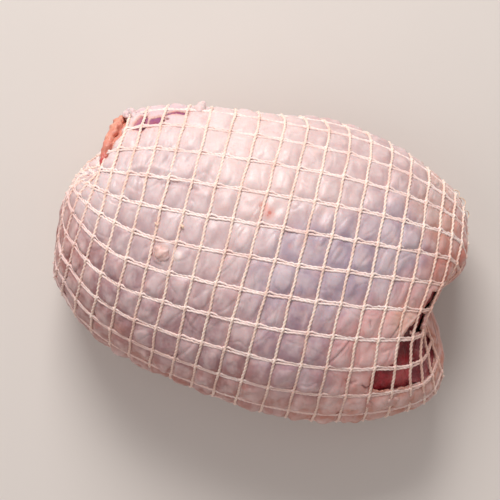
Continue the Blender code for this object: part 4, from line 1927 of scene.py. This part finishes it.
    def knots(self) -> bpy.types.Object:
        """Makes the small knots where the chains hook round the rings, on each chain's upper side.

        Returns:
            The piece.
        """
        crossings = [
            (row, strand)
            for strand in range(self.net.strands)
            for row in range(math.ceil(self.start(strand)), self.net.last_ring + 1)
        ]
        rows, strands = np.array(crossings, float).T
        place = self.net.place(rows, strands)
        across, height = self.knot_place
        spots = place.moved(height, self.knot_stray * np.sin(rows * 3.7 + strands), across)
        sheet = Sheet("net_knots", *self.knot_steps, len(crossings))
        first, second, number = sheet.flat()
        turn, rise = 2 * math.pi * np.mod(first, 1.0), math.pi * second
        shares = (np.sin(rise) * np.cos(turn), np.sin(rise) * np.sin(turn), np.cos(rise))
        points = spots[number]
        for share, size, direction in zip(shares, self.knot_size, (place.along, place.across, place.normal)):
            points = points + (share * size)[:, None] * direction[number]
        mesh = welded(sheet.bent(points, relief=np.full(len(first), 0.8)))
        return finished("net_knots", mesh, self.chain_finish.material(), Slot.NETTING)

    def build(self) -> list[bpy.types.Object]:
        """Makes the whole net."""
        return [*self.rings(), *self.chains(), self.knots()]


@dataclass(frozen=True)
class Lamp:
    """A soft square lamp: its name, where it hangs, its width, its power in watts and its colour."""

    name: str
    place: Triple
    size: float
    power: float
    colour: Colour

    def hang(self, target: Triple) -> None:
        """Hangs the lamp.

        Args:
            target: The place that it looks at.
        """
        light = bpy.data.lights.new(self.name, "AREA")
        light.shape, light.size, light.energy, light.color = "SQUARE", self.size, self.power, self.colour
        lamp = bpy.data.objects.new(self.name, light)
        lamp.location = self.place
        lamp.rotation_euler = (Vector(target) - Vector(self.place)).to_track_quat("-Z", "Y").to_euler()
        bpy.context.scene.collection.objects.link(lamp)


@dataclass
class Studio:
    """A pale floor, soft light from the upper left, and the camera straight above, as in the photograph."""

    floor_size: float = 3.0
    floor_colour: Colour = srgb(214, 206, 200)
    floor_tone: Colour = srgb(205, 196, 188)
    lamps: tuple[Lamp, ...] = (
        Lamp("key", (-0.42, 1.22, 1.15), 0.8, 25.5, (1.0, 0.985, 0.97)),
        Lamp("fill", (-0.8, -0.5, 1.3), 1.2, 3.5, (1.0, 0.97, 0.97)),
    )
    target: Triple = (0, 0, 0.05)
    sky_colour: Colour = (1.0, 0.955, 0.935)
    sky_strength: float = 0.42
    turn: float = math.radians(10)
    distance: float = 1.0
    sensor: float = 36.0
    picture_pixels: float = 500
    focal_pixels: float = 1743
    shift_pixels: Pair = (-10, -11)

    def floor(self) -> None:
        """Lays the floor under the roll."""
        mesh = bpy.data.meshes.new("floor")
        with edited(mesh) as work:
            bmesh.ops.create_grid(work, x_segments=1, y_segments=1, size=self.floor_size / 2)
        wiring = Wiring("pale_floor")
        tone = (self.floor_tone, wiring.noise(60, 3), 0.3, 0.7, 0.0, 0.06)
        colour = wiring.painted(self.floor_colour, tone)
        wiring.set_shader(Base_Color=colour, Roughness=0.6)
        mesh.materials.append(wiring.material)
        floor = bpy.data.objects.new("floor", mesh)
        bpy.context.scene.collection.objects.link(floor)

    def camera(self, middle: Pair) -> None:
        """Sets the camera above the roll.

        Args:
            middle: Where the form's own middle lies from the roll's.
        """
        data = bpy.data.cameras.new("camera")
        data.sensor_width, data.lens = self.sensor, self.focal_pixels / self.picture_pixels * self.sensor
        cos, sin = math.cos(self.turn), math.sin(self.turn)
        right, down = (pixels / self.focal_pixels for pixels in self.shift_pixels)
        place = Vector((cos * right + sin * down, sin * right - cos * down, self.distance))
        place -= Vector((*middle, 0.0))
        camera = bpy.data.objects.new("camera", data)
        camera.matrix_world = Matrix.Translation(place) @ Matrix.Rotation(self.turn, 4, "Z")
        bpy.context.scene.collection.objects.link(camera)
        bpy.context.scene.camera = camera

    def build(self, middle: Pair) -> None:
        """Sets up the floor, the light and the camera.

        Args:
            middle: Where the form's own middle lies from the roll's.
        """
        self.floor()
        for lamp in self.lamps:
            lamp.hang(self.target)
        scene = bpy.context.scene
        scene.world = bpy.data.worlds.new("studio")
        scene.world.use_nodes = True
        sky = scene.world.node_tree.nodes["Background"].inputs
        sky["Color"].default_value = (*self.sky_colour, 1.0)
        sky["Strength"].default_value = self.sky_strength
        scene.view_settings.view_transform = "Standard"
        self.camera(middle)


def main() -> None:
    """Builds the roll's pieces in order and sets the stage."""
    logging.basicConfig(level=logging.INFO, format="%(message)s")
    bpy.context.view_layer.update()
    form = RollForm()
    net = NetLayout(form)
    skin = Skin(net)
    for part in (Meat(net, skin), skin, LoosePieces(net), Netting(net)):
        for piece in part.build():
            LOG.info("%s is in place", piece.name)
    Studio().build(form.middle)


if __name__ == "__main__":
    main()
